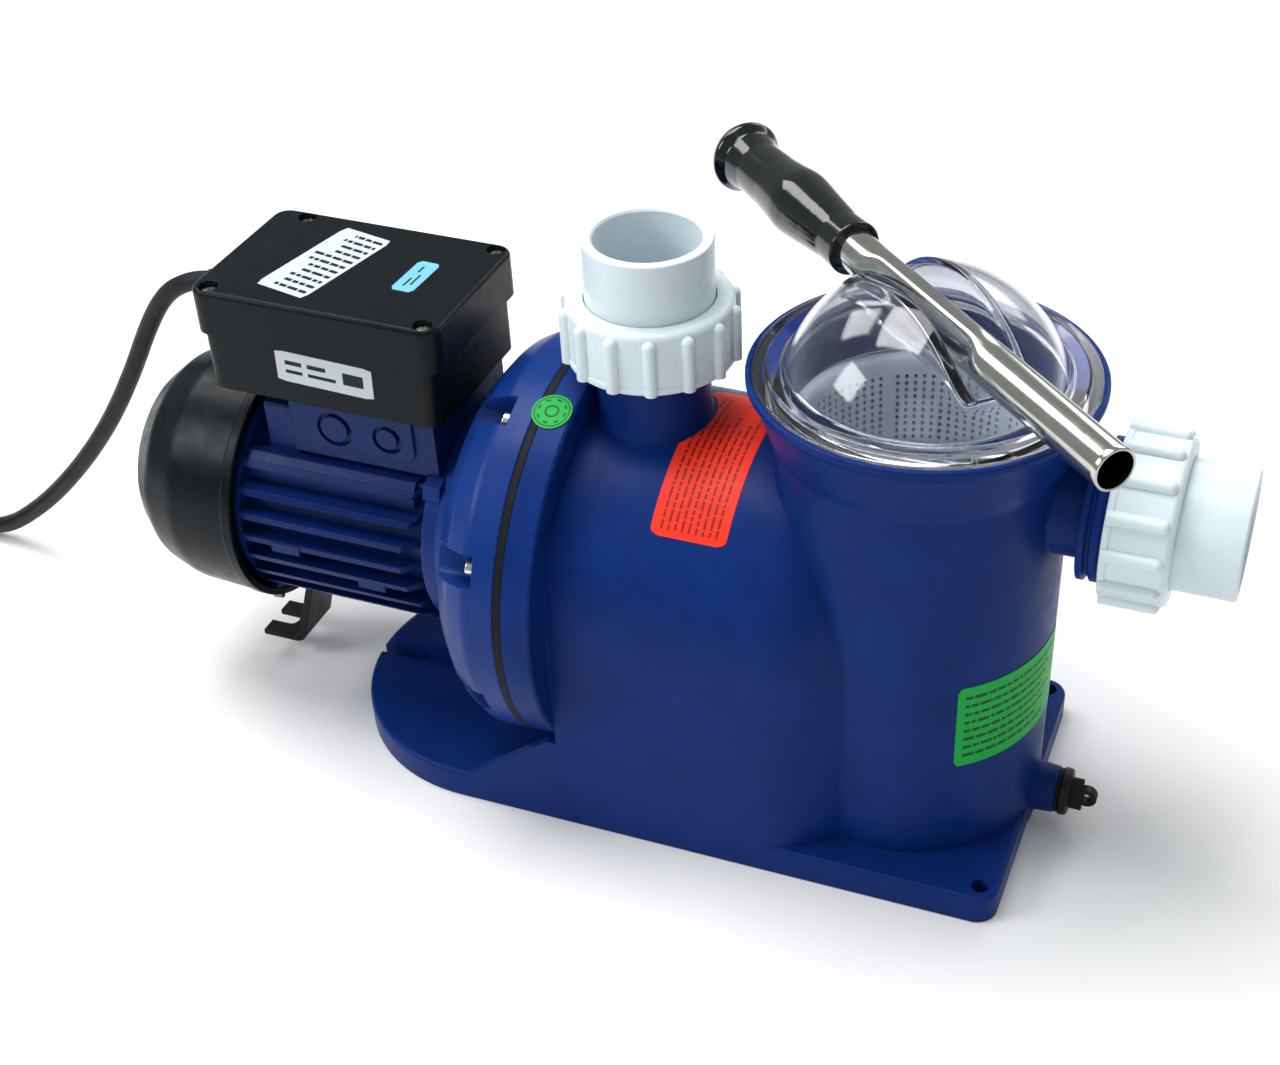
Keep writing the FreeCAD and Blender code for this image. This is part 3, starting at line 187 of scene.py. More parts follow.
M["basket_grey"] = surface("basket_grey", (0.60, 0.66, 0.70), 0.42, var=0.06, var_scale=50, grain=2e-5, grain_scale=1200, bevel=0.0003, spec=0.3)
M["stainless"] = surface("stainless", (0.53, 0.535, 0.49), 0.15, metal=1.0, var=0.04, var_scale=70, rvar=0.03, grain=2e-6, grain_scale=1100)
M["grip_black"] = surface("grip_black", (0.0022, 0.0045, 0.0045), 0.12, var=0.2, var_scale=60, rvar=0.03, grain=6e-6, grain_scale=900, spec=0.5, coat=0.25, coat_rough=0.05)
M["steel"] = surface("steel", (0.48, 0.48, 0.47), 0.30, metal=1.0, var=0.1, var_scale=120, grain=8e-6, grain_scale=1600, bevel=0.0003)
M["bolt_chrome"] = surface("bolt_chrome", (0.72, 0.72, 0.70), 0.17, metal=1.0, var=0.07, var_scale=150, grain=6e-6, grain_scale=1600, bevel=0.0003)
M["brass"] = surface("brass", (0.62, 0.42, 0.14), 0.28, metal=1.0, var=0.1, var_scale=150, grain=8e-6, grain_scale=1600, bevel=0.0003)
M["copper_winding"] = surface("copper_winding", (0.50, 0.19, 0.075), 0.34, metal=0.9, var=0.2, var_scale=1.0, grain=1.2e-4, grain_scale=9.0, stretch=(60, 240, 240))
M["lamination"] = surface("lamination", (0.20, 0.20, 0.21), 0.42, metal=0.9, var=0.18, var_scale=1.0, grain=4e-5, grain_scale=8.0, stretch=(2200, 12, 12))
M["inner_black"] = surface("inner_black", (0.010, 0.010, 0.011), 0.45, var=0.15, var_scale=60, grain=3e-5, bevel=0.0004, spec=0.2)
M["ceramic_white"] = surface("ceramic_white", (0.72, 0.70, 0.66), 0.18, var=0.04, var_scale=60, grain=8e-6)
M["foot_black"] = surface("foot_black", (0.0048, 0.0062, 0.0084), 0.42, var=0.20, var_scale=50, rvar=0.08, grain=4e-5, grain_scale=800, bevel=0.0008, spec=0.18)
M["cord_rubber"] = surface("cord_rubber", (0.0065, 0.0085, 0.0115), 0.46, var=0.20, var_scale=70, rvar=0.08, grain=4e-5, grain_scale=1500, spec=0.22)
M["capacitor_white"] = surface("capacitor_white", (0.70, 0.70, 0.68), 0.35, var=0.05, var_scale=60, grain=1e-5)
M["strap"] = surface("strap", (0.012, 0.012, 0.013), 0.85, var=0.35, var_scale=300, grain=2.5e-4, grain_scale=1900, spec=0.15)
M["label_orange"] = surface("label_orange", (0.96, 0.042, 0.018), 0.42, var=0.04, var_scale=30, grain=6e-6, spec=0.14)
M["ink_dark_red"] = surface("ink_dark_red", (0.30, 0.012, 0.008), 0.45, var=0.12, var_scale=300, grain=4e-6, spec=0.2)
M["label_green"] = surface("label_green", (0.010, 0.400, 0.058), 0.42, var=0.05, var_scale=30, grain=6e-6, spec=0.12)
M["ink_green"] = surface("ink_green", (0.004, 0.070, 0.016), 0.45, var=0.1, var_scale=300, grain=4e-6, spec=0.2)
M["label_white"] = surface("label_white", (0.56, 0.62, 0.63), 0.38, var=0.04, var_scale=60, grain=6e-6, spec=0.3)
M["label_cyan"] = surface("label_cyan", (0.17, 0.50, 0.63), 0.40, var=0.05, var_scale=60, grain=6e-6, spec=0.3)
M["ink_black"] = surface("ink_black", (0.012, 0.014, 0.016), 0.5, var=0.12, var_scale=300, grain=4e-6, spec=0.2)


def clear_plastic():
    m, nt, b = new_mat("clear_lid")
    tc = nt.nodes.new("ShaderNodeTexCoord")
    n = noise_node(nt, tc.outputs["Object"], 28.0, 3.0, 0.5)
    ramp = nt.nodes.new("ShaderNodeValToRGB")
    ramp.color_ramp.elements[0].position = 0.3
    ramp.color_ramp.elements[1].position = 0.7
    ramp.color_ramp.elements[0].color = (0.78, 0.80, 0.86, 1)
    ramp.color_ramp.elements[1].color = (0.90, 0.90, 0.94, 1)
    nt.links.new(n, ramp.inputs["Fac"])
    nt.links.new(ramp.outputs["Color"], b.inputs["Base Color"])
    s = noise_node(nt, tc.outputs["Object"], 90.0, 3.0, 0.6)
    nt.links.new(remap(nt, s, 0.02, 0.07), b.inputs["Roughness"])
    b.inputs["Transmission Weight"].default_value = 1.0
    b.inputs["IOR"].default_value = 1.46
    b.inputs["Specular IOR Level"].default_value = 0.5
    w = noise_node(nt, tc.outputs["Object"], 36.0, 1.0, 0.4)
    bp = nt.nodes.new("ShaderNodeBump")
    bp.inputs["Strength"].default_value = 1.0
    bp.inputs["Distance"].default_value = 6e-5
    nt.links.new(w, bp.inputs["Height"])
    nt.links.new(bp.outputs["Normal"], b.inputs["Normal"])
    lp = nt.nodes.new("ShaderNodeLightPath")
    tr = nt.nodes.new("ShaderNodeBsdfTransparent")
    tr.inputs["Color"].default_value = (0.86, 0.88, 0.91, 1)
    mx = nt.nodes.new("ShaderNodeMixShader")
    out = [q_ for q_ in nt.nodes if q_.type == "OUTPUT_MATERIAL"][0]
    nt.links.new(lp.outputs["Is Shadow Ray"], mx.inputs[0])
    nt.links.new(b.outputs[0], mx.inputs[1])
    nt.links.new(tr.outputs[0], mx.inputs[2])
    nt.links.new(mx.outputs[0], out.inputs[0])
    return m


M["clear_lid"] = clear_plastic()


# ------------------------------------------------------------ small helpers
def split_normals(me, deg):
    """smooth shading with crisp corners, also where the mesh is split along its face borders"""
    cosl = math.cos(math.radians(deg))
    n = len(me.polygons)
    fn = [p.normal.copy() for p in me.polygons]
    fa = [max(p.area, 1e-12) for p in me.polygons]
    keys = {}
    vk = []
    for v in me.vertices:
        k = (round(v.co.x * 2e5), round(v.co.y * 2e5), round(v.co.z * 2e5))
        vk.append(keys.setdefault(k, len(keys)))
    around = [[] for _ in range(len(keys))]
    for p in me.polygons:
        for vi in p.vertices:
            around[vk[vi]].append(p.index)
    out = [None] * len(me.loops)
    for p in me.polygons:
        base = fn[p.index]
        for li in p.loop_indices:
            acc = Vector((0, 0, 0))
            for fi in around[vk[me.loops[li].vertex_index]]:
                if fn[fi].dot(base) >= cosl:
                    acc += fn[fi] * fa[fi]
            if acc.length < 1e-12:
                acc = base.copy()
            out[li] = acc.normalized()
    for p in me.polygons:
        p.use_smooth = True
    me.normals_split_custom_set(out)


def make(name, verts, faces, mat, body="root", deg=None, mats=None, fmat=None):
    me = bpy.data.meshes.new(name)
    me.from_pydata([tuple(v) for v in verts], [], faces)
    me.validate()
    me.update()
    o = link(bpy.data.objects.new(name, me))
    for mm in (mats or [mat]):
        me.materials.append(mm)
    if fmat:
        for p, k in zip(me.polygons, fmat):
            p.material_index = k
    for p in me.polygons:
        p.use_smooth = True
    if deg:
        me.set_sharp_from_angle(angle=math.radians(deg))
    if body:
        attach(o, body)
    return o


def tube_rings(rings, close_u=True, cap0=False, cap1=False):
    verts, faces = [], []
    n = len(rings[0])
    for r in rings:
        verts += r
    for i in range(len(rings) - 1):
        for j in range(n if close_u else n - 1):
            k = (j + 1) % n
            faces.append((i * n + j, i * n + k, (i + 1) * n + k, (i + 1) * n + j))
    if cap0:
        faces.append(tuple(reversed(range(n))))
    if cap1:
        faces.append(tuple((len(rings) - 1) * n + j for j in range(n)))
    return verts, faces


# ------------------------------------------------------------ the lead
COIL_X, COIL_Y = -546.0, -31.0
ROUTE = [(-217, 25, 216), (-253, 25, 216), (-272.5, 25.1, 212), (-289.5, 25.2, 201), (-305, 25.4, 178.5), (-322, 25.6, 147), (-346, 25.9, 108.5), (-376, 26.3, 70.5),
         (-412, 26.8, 33.5), (-451, 27.3, 5.2), (-497, 27.5, 5.1), (-546, 25.2, 5.1)]
TURNS = [(90, 56.2, 5.1), (380, 56.2, 5.1), (405, 53.3, 5.1), (427, 49.0, 5.1), (450, 45.9, 5.1), (672, 45.8, 5.1), (705, 45.8, 8.0), (730, 45.9, 11.6), (750, 46.1, 14.4),
         (770, 47.4, 15.5), (790, 49.4, 15.0), (810, 51.0, 14.1), (990, 51.0, 14.0), (1040, 52.2, 14.2), (1070, 54.6, 15.1), (1090, 56.4, 15.4), (1110, 57.2, 15.4),
         (1130, 58.6, 15.3), (1150, 60.3, 15.4), (1170, 61.3, 14.6), (1190, 61.4, 14.2), (1260, 61.0, 14.3)]


def turn_at(a):
    for (a0, r0, z0), (a1, r1, z1) in zip(TURNS, TURNS[1:]):
        if a <= a1:
            t = (a - a0) / (a1 - a0)
            return r0 + (r1 - r0) * t, z0 + (z1 - z0) * t
    return TURNS[-1][1:]


pts = list(ROUTE)
STEP = 18.0
GROW = 0.75 + 0.25 * math.cos(math.radians(STEP))
a = 90 + STEP
while a <= 1260 - STEP * 0.5:
    r, z = turn_at(a)
    g = r / GROW
    pts.append((COIL_X + g * math.cos(math.radians(a)), COIL_Y + g * math.sin(math.radians(a)), z))
    a += STEP
pts += [(-607.2, -36.0, 14.6), (-606.0, -58.0, 15.6), (-603.6, -80.0, 18.0), (-603.0, -97.0, 18.7)]

cu = bpy.data.curves.new("power_lead", "CURVE")
cu.dimensions = "3D"
sp = cu.splines.new("NURBS")
sp.points.add(len(pts) - 1)
for p, q in zip(sp.points, pts):
    p.co = (q[0] * MM, q[1] * MM, q[2] * MM, 1.0)
sp.order_u = 3
sp.use_endpoint_u = True
cu.resolution_u = 10
line = link(bpy.data.objects.new("lead_line", cu))
bpy.context.view_layer.update()
dg = bpy.context.evaluated_depsgraph_get()
lm = bpy.data.meshes.new_from_object(line.evaluated_get(dg))
LINE = [v.co.copy() for v in lm.vertices]
bpy.data.objects.remove(line)
cu.bevel_depth = 0.005
cu.bevel_resolution = 6
cu.use_fill_caps = True
cu.materials.append(M["cord_rubber"])
lead = link(bpy.data.objects.new("power_lead", cu))
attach(lead, "root")
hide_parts("power_cord", "cord_coil")
lead_len = sum((LINE[i + 1] - LINE[i]).length for i in range(len(LINE) - 1))
print("lead length", round(lead_len, 4))


def frames_on(line):
    out = []
    up = Vector((0, 1, 0))
    for i, p in enumerate(line):
        t = (line[min(i + 1, len(line) - 1)] - line[max(i - 1, 0)]).normalized()
        s = (up - t * up.dot(t)).normalized()
        up = s
        out.append((p, t, s, t.cross(s)))
    return out


FR = frames_on(LINE)
# tapered, grooved bend relief round the lead where it leaves the gland
rings = []
dist = 0.0
start = None
prof = []
L0, L1 = 0.0175, 0.0415
k = 0
path = []
for i in range(len(FR)):
    if i:
        dist += (LINE[i] - LINE[i - 1]).length
    path.append(dist)


def at(d):
    for i in range(1, len(path)):
        if path[i] >= d:
            t = (d - path[i - 1]) / max(path[i] - path[i - 1], 1e-9)
            p = LINE[i - 1].lerp(LINE[i], t)
            return p, FR[i][1], FR[i][2], FR[i][3]
    return FR[-1]


def round_the_lead(d, r, n=32):
    p, t, s, b = at(d)
    return [p + s * (r * math.cos(2 * math.pi * j / n)) + b * (r * math.sin(2 * math.pi * j / n)) for j in range(n)]


steps = 44
for i in range(steps + 1):
    t = i / steps
    d = L0 + (L1 - L0) * t
    r = 0.0076 + (0.0060 - 0.0076) * t
    c = (t * 6.0) % 1.0
    if 0.10 < t < 0.94 and c < 0.36:
        r -= 0.0007
    rings.append(round_the_lead(d, r))
rings.append(round_the_lead(L1 + 0.0003, 0.0050))
v, f = tube_rings(rings)
relief = make("bend_relief", v, f, M["black_rubber"], "root", deg=40)
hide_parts("cord_bend_sleeve")

# fabric hook and loop tie round the coil
ta = math.radians(40)
er, et = Vector((math.cos(ta), math.sin(ta), 0)), Vector((-math.sin(ta), math.cos(ta), 0))
cc = Vector((COIL_X, COIL_Y, 0)) * MM


def tie_loop(grow, r0=40.6, r1=62.9, z0=0.6, z1=20.9, rad=4.5, n=8):
    out = []
    a0, a1, b0, b1 = r0 - grow, r1 + grow, max(0.15, z0 - grow), z1 + grow
    R = rad
    for (cx_, cz_, s) in ((a1 - R, b1 - R, 0), (a0 + R, b1 - R, 90), (a0 + R, b0 + R, 180), (a1 - R, b0 + R, 270)):
        for i in range(n + 1):
            q = math.radians(s + 90 * i / n)
            out.append((cx_ + R * math.cos(q), cz_ + R * math.sin(q)))
    return out


verts, faces = [], []
ws = [-8.0, -7.4, -5, -2.5, 0, 2.5, 5, 7.4, 8.0]
lo, li = tie_loop(0.75), tie_loop(-0.05)
n = len(lo)
rows = []
for w in ws:
    e = 0.25 if abs(w) > 7.9 else 0.0
    rows.append([cc + er * ((x + (-e if x > 52 else e)) * MM) + et * (w * MM) + Vector((0, 0, z * MM)) for x, z in lo])
for w in reversed(ws):
    rows.append([cc + er * (x * MM) + et * (w * MM) + Vector((0, 0, z * MM)) for x, z in li])
for r in rows:
    verts += r
m = len(rows)
for i in range(m):
    for j in range(n):
        faces.append((i * n + j, i * n + (j + 1) % n, ((i + 1) % m) * n + (j + 1) % n, ((i + 1) % m) * n + j))
base = len(verts)
# loose end of the tie lying over the top
fl = [(44.0, 21.72), (48, 21.95), (52, 22.0), (56, 21.95), (60.0, 21.75), (62.2, 20.8), (63.8, 18.6), (64.6, 15.5), (65.6, 12.5)]
fr = []
for (x, z) in fl:
    fr.append([cc + er * (x * MM) + et * (w * MM) + Vector((0, 0, (z + dz) * MM)) for (w, dz) in ((-7, 0), (7, 0), (7, 0.7), (-7, 0.7))])
for r in fr:
    verts += r
for i in range(len(fr) - 1):
    for j in range(4):
        faces.append((base + i * 4 + j, base + i * 4 + (j + 1) % 4, base + (i + 1) * 4 + (j + 1) % 4, base + (i + 1) * 4 + j))
faces.append((base + 3, base + 2, base + 1, base))
e = base + (len(fr) - 1) * 4
faces.append((e, e + 1, e + 2, e + 3))
tie = make("coil_tie", verts, faces, M["strap"], "root", deg=40)
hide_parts("cord_tie")

# ------------------------------------------------------------ CAD nodes: smooth shading and materials
slot_of = {s["node"]: s["material_slot"] for s in frame["record"]["subparts"]}
gone = {"strainer_lid", "strainer_basket", "wrench_tube", "power_cord", "cord_coil", "cord_tie", "cord_bend_sleeve"}
wear_other = {"tie_rods": "motor_paint"}
for name, o in NODES.items():
    mat = M.get(wear_other.get(name) or slot_of.get(name), M["inner_black"])
    if o.material_slots:
        for s in o.material_slots:
            s.material = mat
    else:
        o.data.materials.append(mat)
    if name not in gone:
        split_normals(o.data, 32 if name not in ("pump_housing", "seal_plate") else 30)

# ------------------------------------------------------------ strainer lid
PX = 133.0


def ss(t):
    t = max(0.0, min(1.0, t))
    return t * t * t * (t * (6 * t - 15) + 10)


def smax0(x, k=2.0):
    if x > k:
        return x
    if x < -k:
        return 0.0
    return (x + k) ** 2 / (4 * k)


vl = [0, 2.5, 5, 7, 8.2] + [8.8 + 0.42 * i for i in range(26)] + [20.6, 23.2]
th = [math.asin(v / 64.0) for v in vl]
q = th[-1]
steps = 20
th += [q + (math.pi / 2 - q) * (i + 1) / steps for i in range(steps)]
th = [-t for t in reversed(th[1:])] + th
NU = 72
UD = (math.cos(math.radians(-42.9)), math.sin(math.radians(-42.9)))


def lid_surface(rad, rb, floor, w0, w1):
    rows = []
    for t in th:
        v = rb * math.sin(t)
        half = math.sqrt(max(0.0, rb * rb - v * v))
        row = []
        for i in range(NU + 1):
            if half < 1e-6:
                u = 0.0
            else:
                u = -half * math.cos(math.pi * i / NU)
            d = 231.5 + math.sqrt(max(0.0, rad * rad - u * u - v * v))
            s = 1 - ss((abs(v) - w0) / (w1 - w0))
            row.append((u, v, d - smax0(d - floor) * s))
        rows.append(row)
    return rows


def lid_xyz(u, v, z):
    return Vector((PX + u * UD[0] - v * UD[1], u * UD[1] + v * UD[0], z)) * MM


verts, faces = [], []


def add_grid(rows, flip):
    """grid with its two end rows as single points; returns the ring of border vertices, counter-clockwise from the +u side"""
    idx = []
    for k, row in enumerate(rows):
        if k in (0, len(rows) - 1):
            verts.append(lid_xyz(*row[NU // 2][:2], row[NU // 2][2]))
            idx.append([len(verts) - 1] * (NU + 1))
        else:
            ids = []
            for p in row:
                verts.append(lid_xyz(*p))
                ids.append(len(verts) - 1)
            idx.append(ids)
    for k in range(len(rows) - 1):
        for i in range(NU):
            f = [idx[k][i], idx[k][i + 1], idx[k + 1][i + 1], idx[k + 1][i]]
            g = []
            for x in f:
                if x not in g:
                    g.append(x)
            if len(g) > 2:
                faces.append(tuple(reversed(g)) if flip else tuple(g))
    right = [r[-1] for r in idx]
    left = [r[0] for r in idx]
    return right + list(reversed(left[1:-1]))


outer = add_grid(lid_surface(69.0, 64.0, 271.0, 8.9, 15.9), False)
inner = add_grid(lid_surface(66.0, 61.8, 268.0, 11.9, 18.9), True)
angs = []
for i in outer:
    c = verts[i]
    angs.append(math.atan2(c.y, c.x - PX * MM))
prof = [(64.4, 257.0), (65.2, 256.5), (66.4, 256.2), (71.6, 256.2), (72.3, 255.9), (72.9, 254.8), (73.6, 254.4), (78.2, 254.4), (78.75, 254.2), (79.0, 253.7), (79.0, 250.9), (78.8, 250.4), (78.3, 250.2),
        (66.0, 250.2), (65.6, 249.9), (65.6, 227.2), (65.2, 226.5), (64.8, 226.4), (62.4, 226.4), (61.95, 226.7), (61.8, 227.2), (61.8, 250.0)]
prev = outer
nb = len(outer)
for (r, z) in prof:
    ring = []
    for a_ in angs:
        verts.append(Vector((PX + r * math.cos(a_), r * math.sin(a_), z)) * MM)
        ring.append(len(verts) - 1)
    for j in range(nb):
        k = (j + 1) % nb
        faces.append((prev[j], ring[j], ring[k], prev[k]))
    prev = ring
for j in range(nb):
    k = (j + 1) % nb
    faces.append((prev[j], inner[j], inner[k], prev[k]))
lid = make("clear_strainer_lid", verts, faces, M["clear_lid"], "lid", deg=50)
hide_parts("strainer_lid")

# ------------------------------------------------------------ strainer basket, perforated
COLS, ROWS = 84, 40
Z0, Z1 = 66.0, 219.0


def cone(z):
    return 53.0 + (59.2 - 53.0) * (z - 62.0) / (214.0 - 62.0)


verts, faces, cache = [], [], {}


def bv(aa, z, r=None):
    key = (round((aa % 360.0) * 1000), round(z * 1000), None if r is None else round(r * 1000))
    if key not in cache:
        rr = cone(z) if r is None else r
        q_ = math.radians(aa)
        verts.append(Vector((PX + rr * math.cos(q_), rr * math.sin(q_), z)) * MM)
        cache[key] = len(verts) - 1
    return cache[key]


da, dz = 360.0 / COLS, (Z1 - Z0) / ROWS
for i in range(COLS):
    for j in range(ROWS):
        a0, z0 = i * da, Z0 + j * dz
        am, zm = a0 + da / 2, z0 + dz / 2
        off = ((am + 180) % 360) - 180
        yy, zz = math.radians(off) * 58.0, zm - 196.4
        if yy * yy + zz * zz < 22.5 ** 2:
            continue
        near = yy * yy + zz * zz < 26.5 ** 2
        rib = (i % 14 == 0) or (j in (0, ROWS - 1)) or j == 20
        ring = [(a0, z0), (am, z0), (a0 + da, z0), (a0 + da, zm), (a0 + da, z0 + dz), (am, z0 + dz), (a0, z0 + dz), (a0, zm)]
        if rib or near:
            faces.append(tuple(bv(*p) for p in ring))
            continue
        hw, hh = da * 0.21, dz * 0.34
        hole = [(am - hw * .75, zm - hh * .75), (am, zm - hh), (am + hw * .75, zm - hh * .75), (am + hw, zm), (am + hw * .75, zm + hh * .75), (am, zm + hh), (am - hw * .75, zm + hh * .75), (am - hw, zm)]
        for k in range(8):
            k2 = (k + 1) % 8
            faces.append((bv(*ring[k]), bv(*ring[k2]), bv(*hole[k2]), bv(*hole[k])))
# floor of the basket: rings with slots, and the rim
prev_r = None
for r in (53.2, 50.0, 44.0, 38.0, 31.0, 24.0, 16.0, 8.0):
    z = 66.0 if r > 53 else (63.6 if r > 49 else 63.0)
    if prev_r:
        pr, pz = prev_r
        for i in range(COLS):
            if r in (38.0, 24.0) and i % 3 != 0:
                continue
            a0 = i * da
            if pr > 53:
                q1, q2 = bv(a0, 66.0), bv(a0 + da, 66.0)
            else:
                q1, q2 = bv(a0, pz, pr), bv(a0 + da, pz, pr)
            faces.append((q1, bv(a0, z, r), bv(a0 + da, z, r), q2))
    prev_r = (r, z)
c0 = len(verts)
verts.append(Vector((PX, 0, 63.0)) * MM)
for i in range(COLS):
    faces.append((bv(i * da, 63.0, 8.0), c0, bv((i + 1) * da, 63.0, 8.0)))
rp = [(None, 219.0), (59.7, 221.4), (60.4, 222.8), (61.5, 223.4), (64.6, 223.5)]
for (r1_, z1_), (r2_, z2_) in zip(rp, rp[1:]):
    for i in range(COLS):
        a0 = i * da
        faces.append((bv(a0, z1_, r1_), bv(a0 + da, z1_, r1_), bv(a0 + da, z2_, r2_), bv(a0, z2_, r2_)))
basket = make("mesh_basket", verts, faces, M["basket_grey"], None)
so = basket.modifiers.new("thick", "SOLIDIFY")
so.thickness = 0.0017
so.offset = -1.0 if False else 0.0
so.use_even_offset = True
bpy.context.view_layer.update()
dg = bpy.context.evaluated_depsgraph_get()
me2 = bpy.data.meshes.new_from_object(basket.evaluated_get(dg))
basket.modifiers.clear()
basket.data = me2
for p in me2.polygons:
    p.use_smooth = True
me2.set_sharp_from_angle(angle=math.radians(35))
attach(basket, "basket")
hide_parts("strainer_basket")

# ------------------------------------------------------------ lid wrench tube
rings = []
NS = 48


def wr_sec(u, wall):
    t = ss((abs(u) - 34.0) / 18.0)
    w = (6.4 + (10.0 - 6.4) * t) - wall
    h = (10.9 + (10.0 - 10.9) * t) - wall
    out = []
    for j in range(NS):
        q_ = 2 * math.pi * j / NS
        c, s = math.cos(q_), math.sin(q_)
        flat = 1.0 - t
        ex = 1.0 - 0.35 * flat
        v_ = w * math.copysign(abs(c) ** ex, c)
        z_ = h * math.copysign(abs(s) ** (1.0 - 0.12 * flat), s)
        out.append((u, v_, z_))
    return [Vector((PX + a_ * UD[0] - b_ * UD[1], a_ * UD[1] + b_ * UD[0], 282.0 + c_)) * MM for a_, b_, c_ in out]


us = [-168.0, -150, -120, -90, -70, -60] + [-56 + 2.0 * i for i in range(57)] + [60, 70, 90, 110, 125, 134, 136.4]
for u in us:
    rings.append(wr_sec(u, 0.0))
rings.append(wr_sec(136.85, 0.25))
rings.append(wr_sec(137.0, 0.6))
rings.append(wr_sec(136.8, 1.3))
for u in reversed([x for x in us if x < 136]):
    rings.append(wr_sec(u, 1.5))
v, f = tube_rings(rings)
n = NS
last = (len(rings) - 1) * n
for j in range(n):
    k = (j + 1) % n
    f.append((last + j, last + k, k, j))
tube = make("wrench_steel_tube", v, f, M["stainless"], "wrench", deg=35)
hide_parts("wrench_tube")

# ------------------------------------------------------------ labels, with plain bars in place of print
hm = NODES["pump_housing"].data
bvh = BVHTree.FromPolygons([v.co for v in hm.vertices], [tuple(p.vertices) for p in hm.polygons])


def label(name, at_, L, W, r, base, ink, marks, nu=28, nv=12, body="root", edge=None):
    """rounded rectangle L long, W wide, laid on the surface at_(s, t, lift) gives; marks are (s0, s1, t0, t1) bars"""
    verts, faces, fm = [], [], []

    def half(s):
        d = abs(s) - (L / 2 - r)
        if d <= 0:
            return W / 2
        return W / 2 - r + math.sqrt(max(0.0, r * r - d * d))
    ss_ = []
    for i in range(nu + 1):
        ss_.append(-L / 2 * math.cos(math.pi * i / nu) * 0.25 + (-L / 2 + L * i / nu) * 0.75)
    for lift in (0.10, 0.26):
        for s in ss_:
            h = half(s)
            for j in range(nv + 1):
                t = -h + 2 * h * j / nv
                verts.append(at_(s, t, lift))
    cnt = (nu + 1) * (nv + 1)

    def id_(k, i, j):
        return k * cnt + i * (nv + 1) + j
    for i in range(nu):
        for j in range(nv):
            faces.append((id_(1, i, j), id_(1, i + 1, j), id_(1, i + 1, j + 1), id_(1, i, j + 1)))
            faces.append((id_(0, i, j), id_(0, i, j + 1), id_(0, i + 1, j + 1), id_(0, i + 1, j)))
            fm += [0, 0]
    border = [(i, 0) for i in range(nu + 1)] + [(nu, j) for j in range(1, nv + 1)] + [(i, nv) for i in range(nu - 1, -1, -1)] + [(0, j) for j in range(nv - 1, 0, -1)]
    for k in range(len(border)):
        a_, b_ = border[k], border[(k + 1) % len(border)]
        faces.append((id_(0, *a_), id_(0, *b_), id_(1, *b_), id_(1, *a_)))
        fm.append(0)
    for (s0, s1, t0, t1) in marks:
        ns = max(1, int(abs(s1 - s0) / 4) + 1)
        nt_ = max(1, int(abs(t1 - t0) / 4) + 1)
        b0 = len(verts)
        for lift in (0.25, 0.30):
            for i in range(ns + 1):
                for j in range(nt_ + 1):
                    verts.append(at_(s0 + (s1 - s0) * i / ns, t0 + (t1 - t0) * j / nt_, lift))
        c2 = (ns + 1) * (nt_ + 1)
        for i in range(ns):
            for j in range(nt_):
                q_ = b0 + c2 + i * (nt_ + 1) + j
                faces.append((q_, q_ + nt_ + 1, q_ + nt_ + 2, q_ + 1))
                fm.append(1)
                q_ = b0 + i * (nt_ + 1) + j
                faces.append((q_, q_ + 1, q_ + nt_ + 2, q_ + nt_ + 1))
                fm.append(1)
        bd = [(i, 0) for i in range(ns + 1)] + [(ns, j) for j in range(1, nt_ + 1)] + [(i, nt_) for i in range(ns - 1, -1, -1)] + [(0, j) for j in range(nt_ - 1, 0, -1)]
        for k in range(len(bd)):
            a_, b_ = bd[k], bd[(k + 1) % len(bd)]
            A = b0 + a_[0] * (nt_ + 1) + a_[1]
            B = b0 + b_[0] * (nt_ + 1) + b_[1]
            faces.append((A, B, B + c2, A + c2))
            fm.append(1)
    o = make(name, verts, faces, None, body, deg=60, mats=[M[base], M[ink]], fmat=fm)
    return o


def hash01(i, j):
    x = math.sin(i * 12.9898 + j * 78.233) * 43758.5453
    return x - math.floor(x)


def bars(L, W, n, seed, pad=2.5, fill=0.42, along="t"):
    """rows of short plain bars"""
    out = []
    span = (L if along == "t" else W) - 2 * pad
    run = (W if along == "t" else L) - 2 * pad
    for i in range(n):
        c = -span / 2 + span * (i + 0.5) / n
        h = span / n * fill / 2
        x = -run / 2
        k = 0
        end = run / 2 - run * 0.35 * hash01(seed + i, 5)
        while x < end:
            w = 1.6 + 5.2 * hash01(seed + i * 3.1, k)
            x2 = min(x + w, end)
            if x2 - x > 0.7:
                out.append((c - h, c + h, x, x2) if along == "t" else (x, x2, c - h, c + h))
            x = x2 + 0.9
            k += 1
    return out


ZM = 120.4


def cast(origin, direction):
    h = bvh.ray_cast(Vector(origin) * MM, Vector(direction).normalized())
    return h[0], h[1]


def on_volute(x, ang, lift):
    q_ = math.radians(ang)
    d = Vector((0, -math.cos(q_), math.sin(q_)))
    o_ = Vector((x, 0, ZM)) + d * 112.0
    p, n_ = cast(o_, -d)
    if p is None:
        p = (Vector((x, 0, ZM)) + d * 85.6) * MM
    return p + d * (lift * MM)


def orange_at(s, t, lift):
    # s runs from the low end up over the arch, t across it from the ring side to the basket side
    ang = 43.0 + (s + 50.0) / 85.6 * 57.2958
    x = 20.6 + 37.4 * (t + 19.0) / 38.0
    neck = math.sqrt(max(0.0, 30.3 ** 2 - (85.6 * math.cos(math.radians(ang))) ** 2))
    if x < neck:
        x = neck - (neck - x) * 0.02
    return on_volute(x, ang, lift)


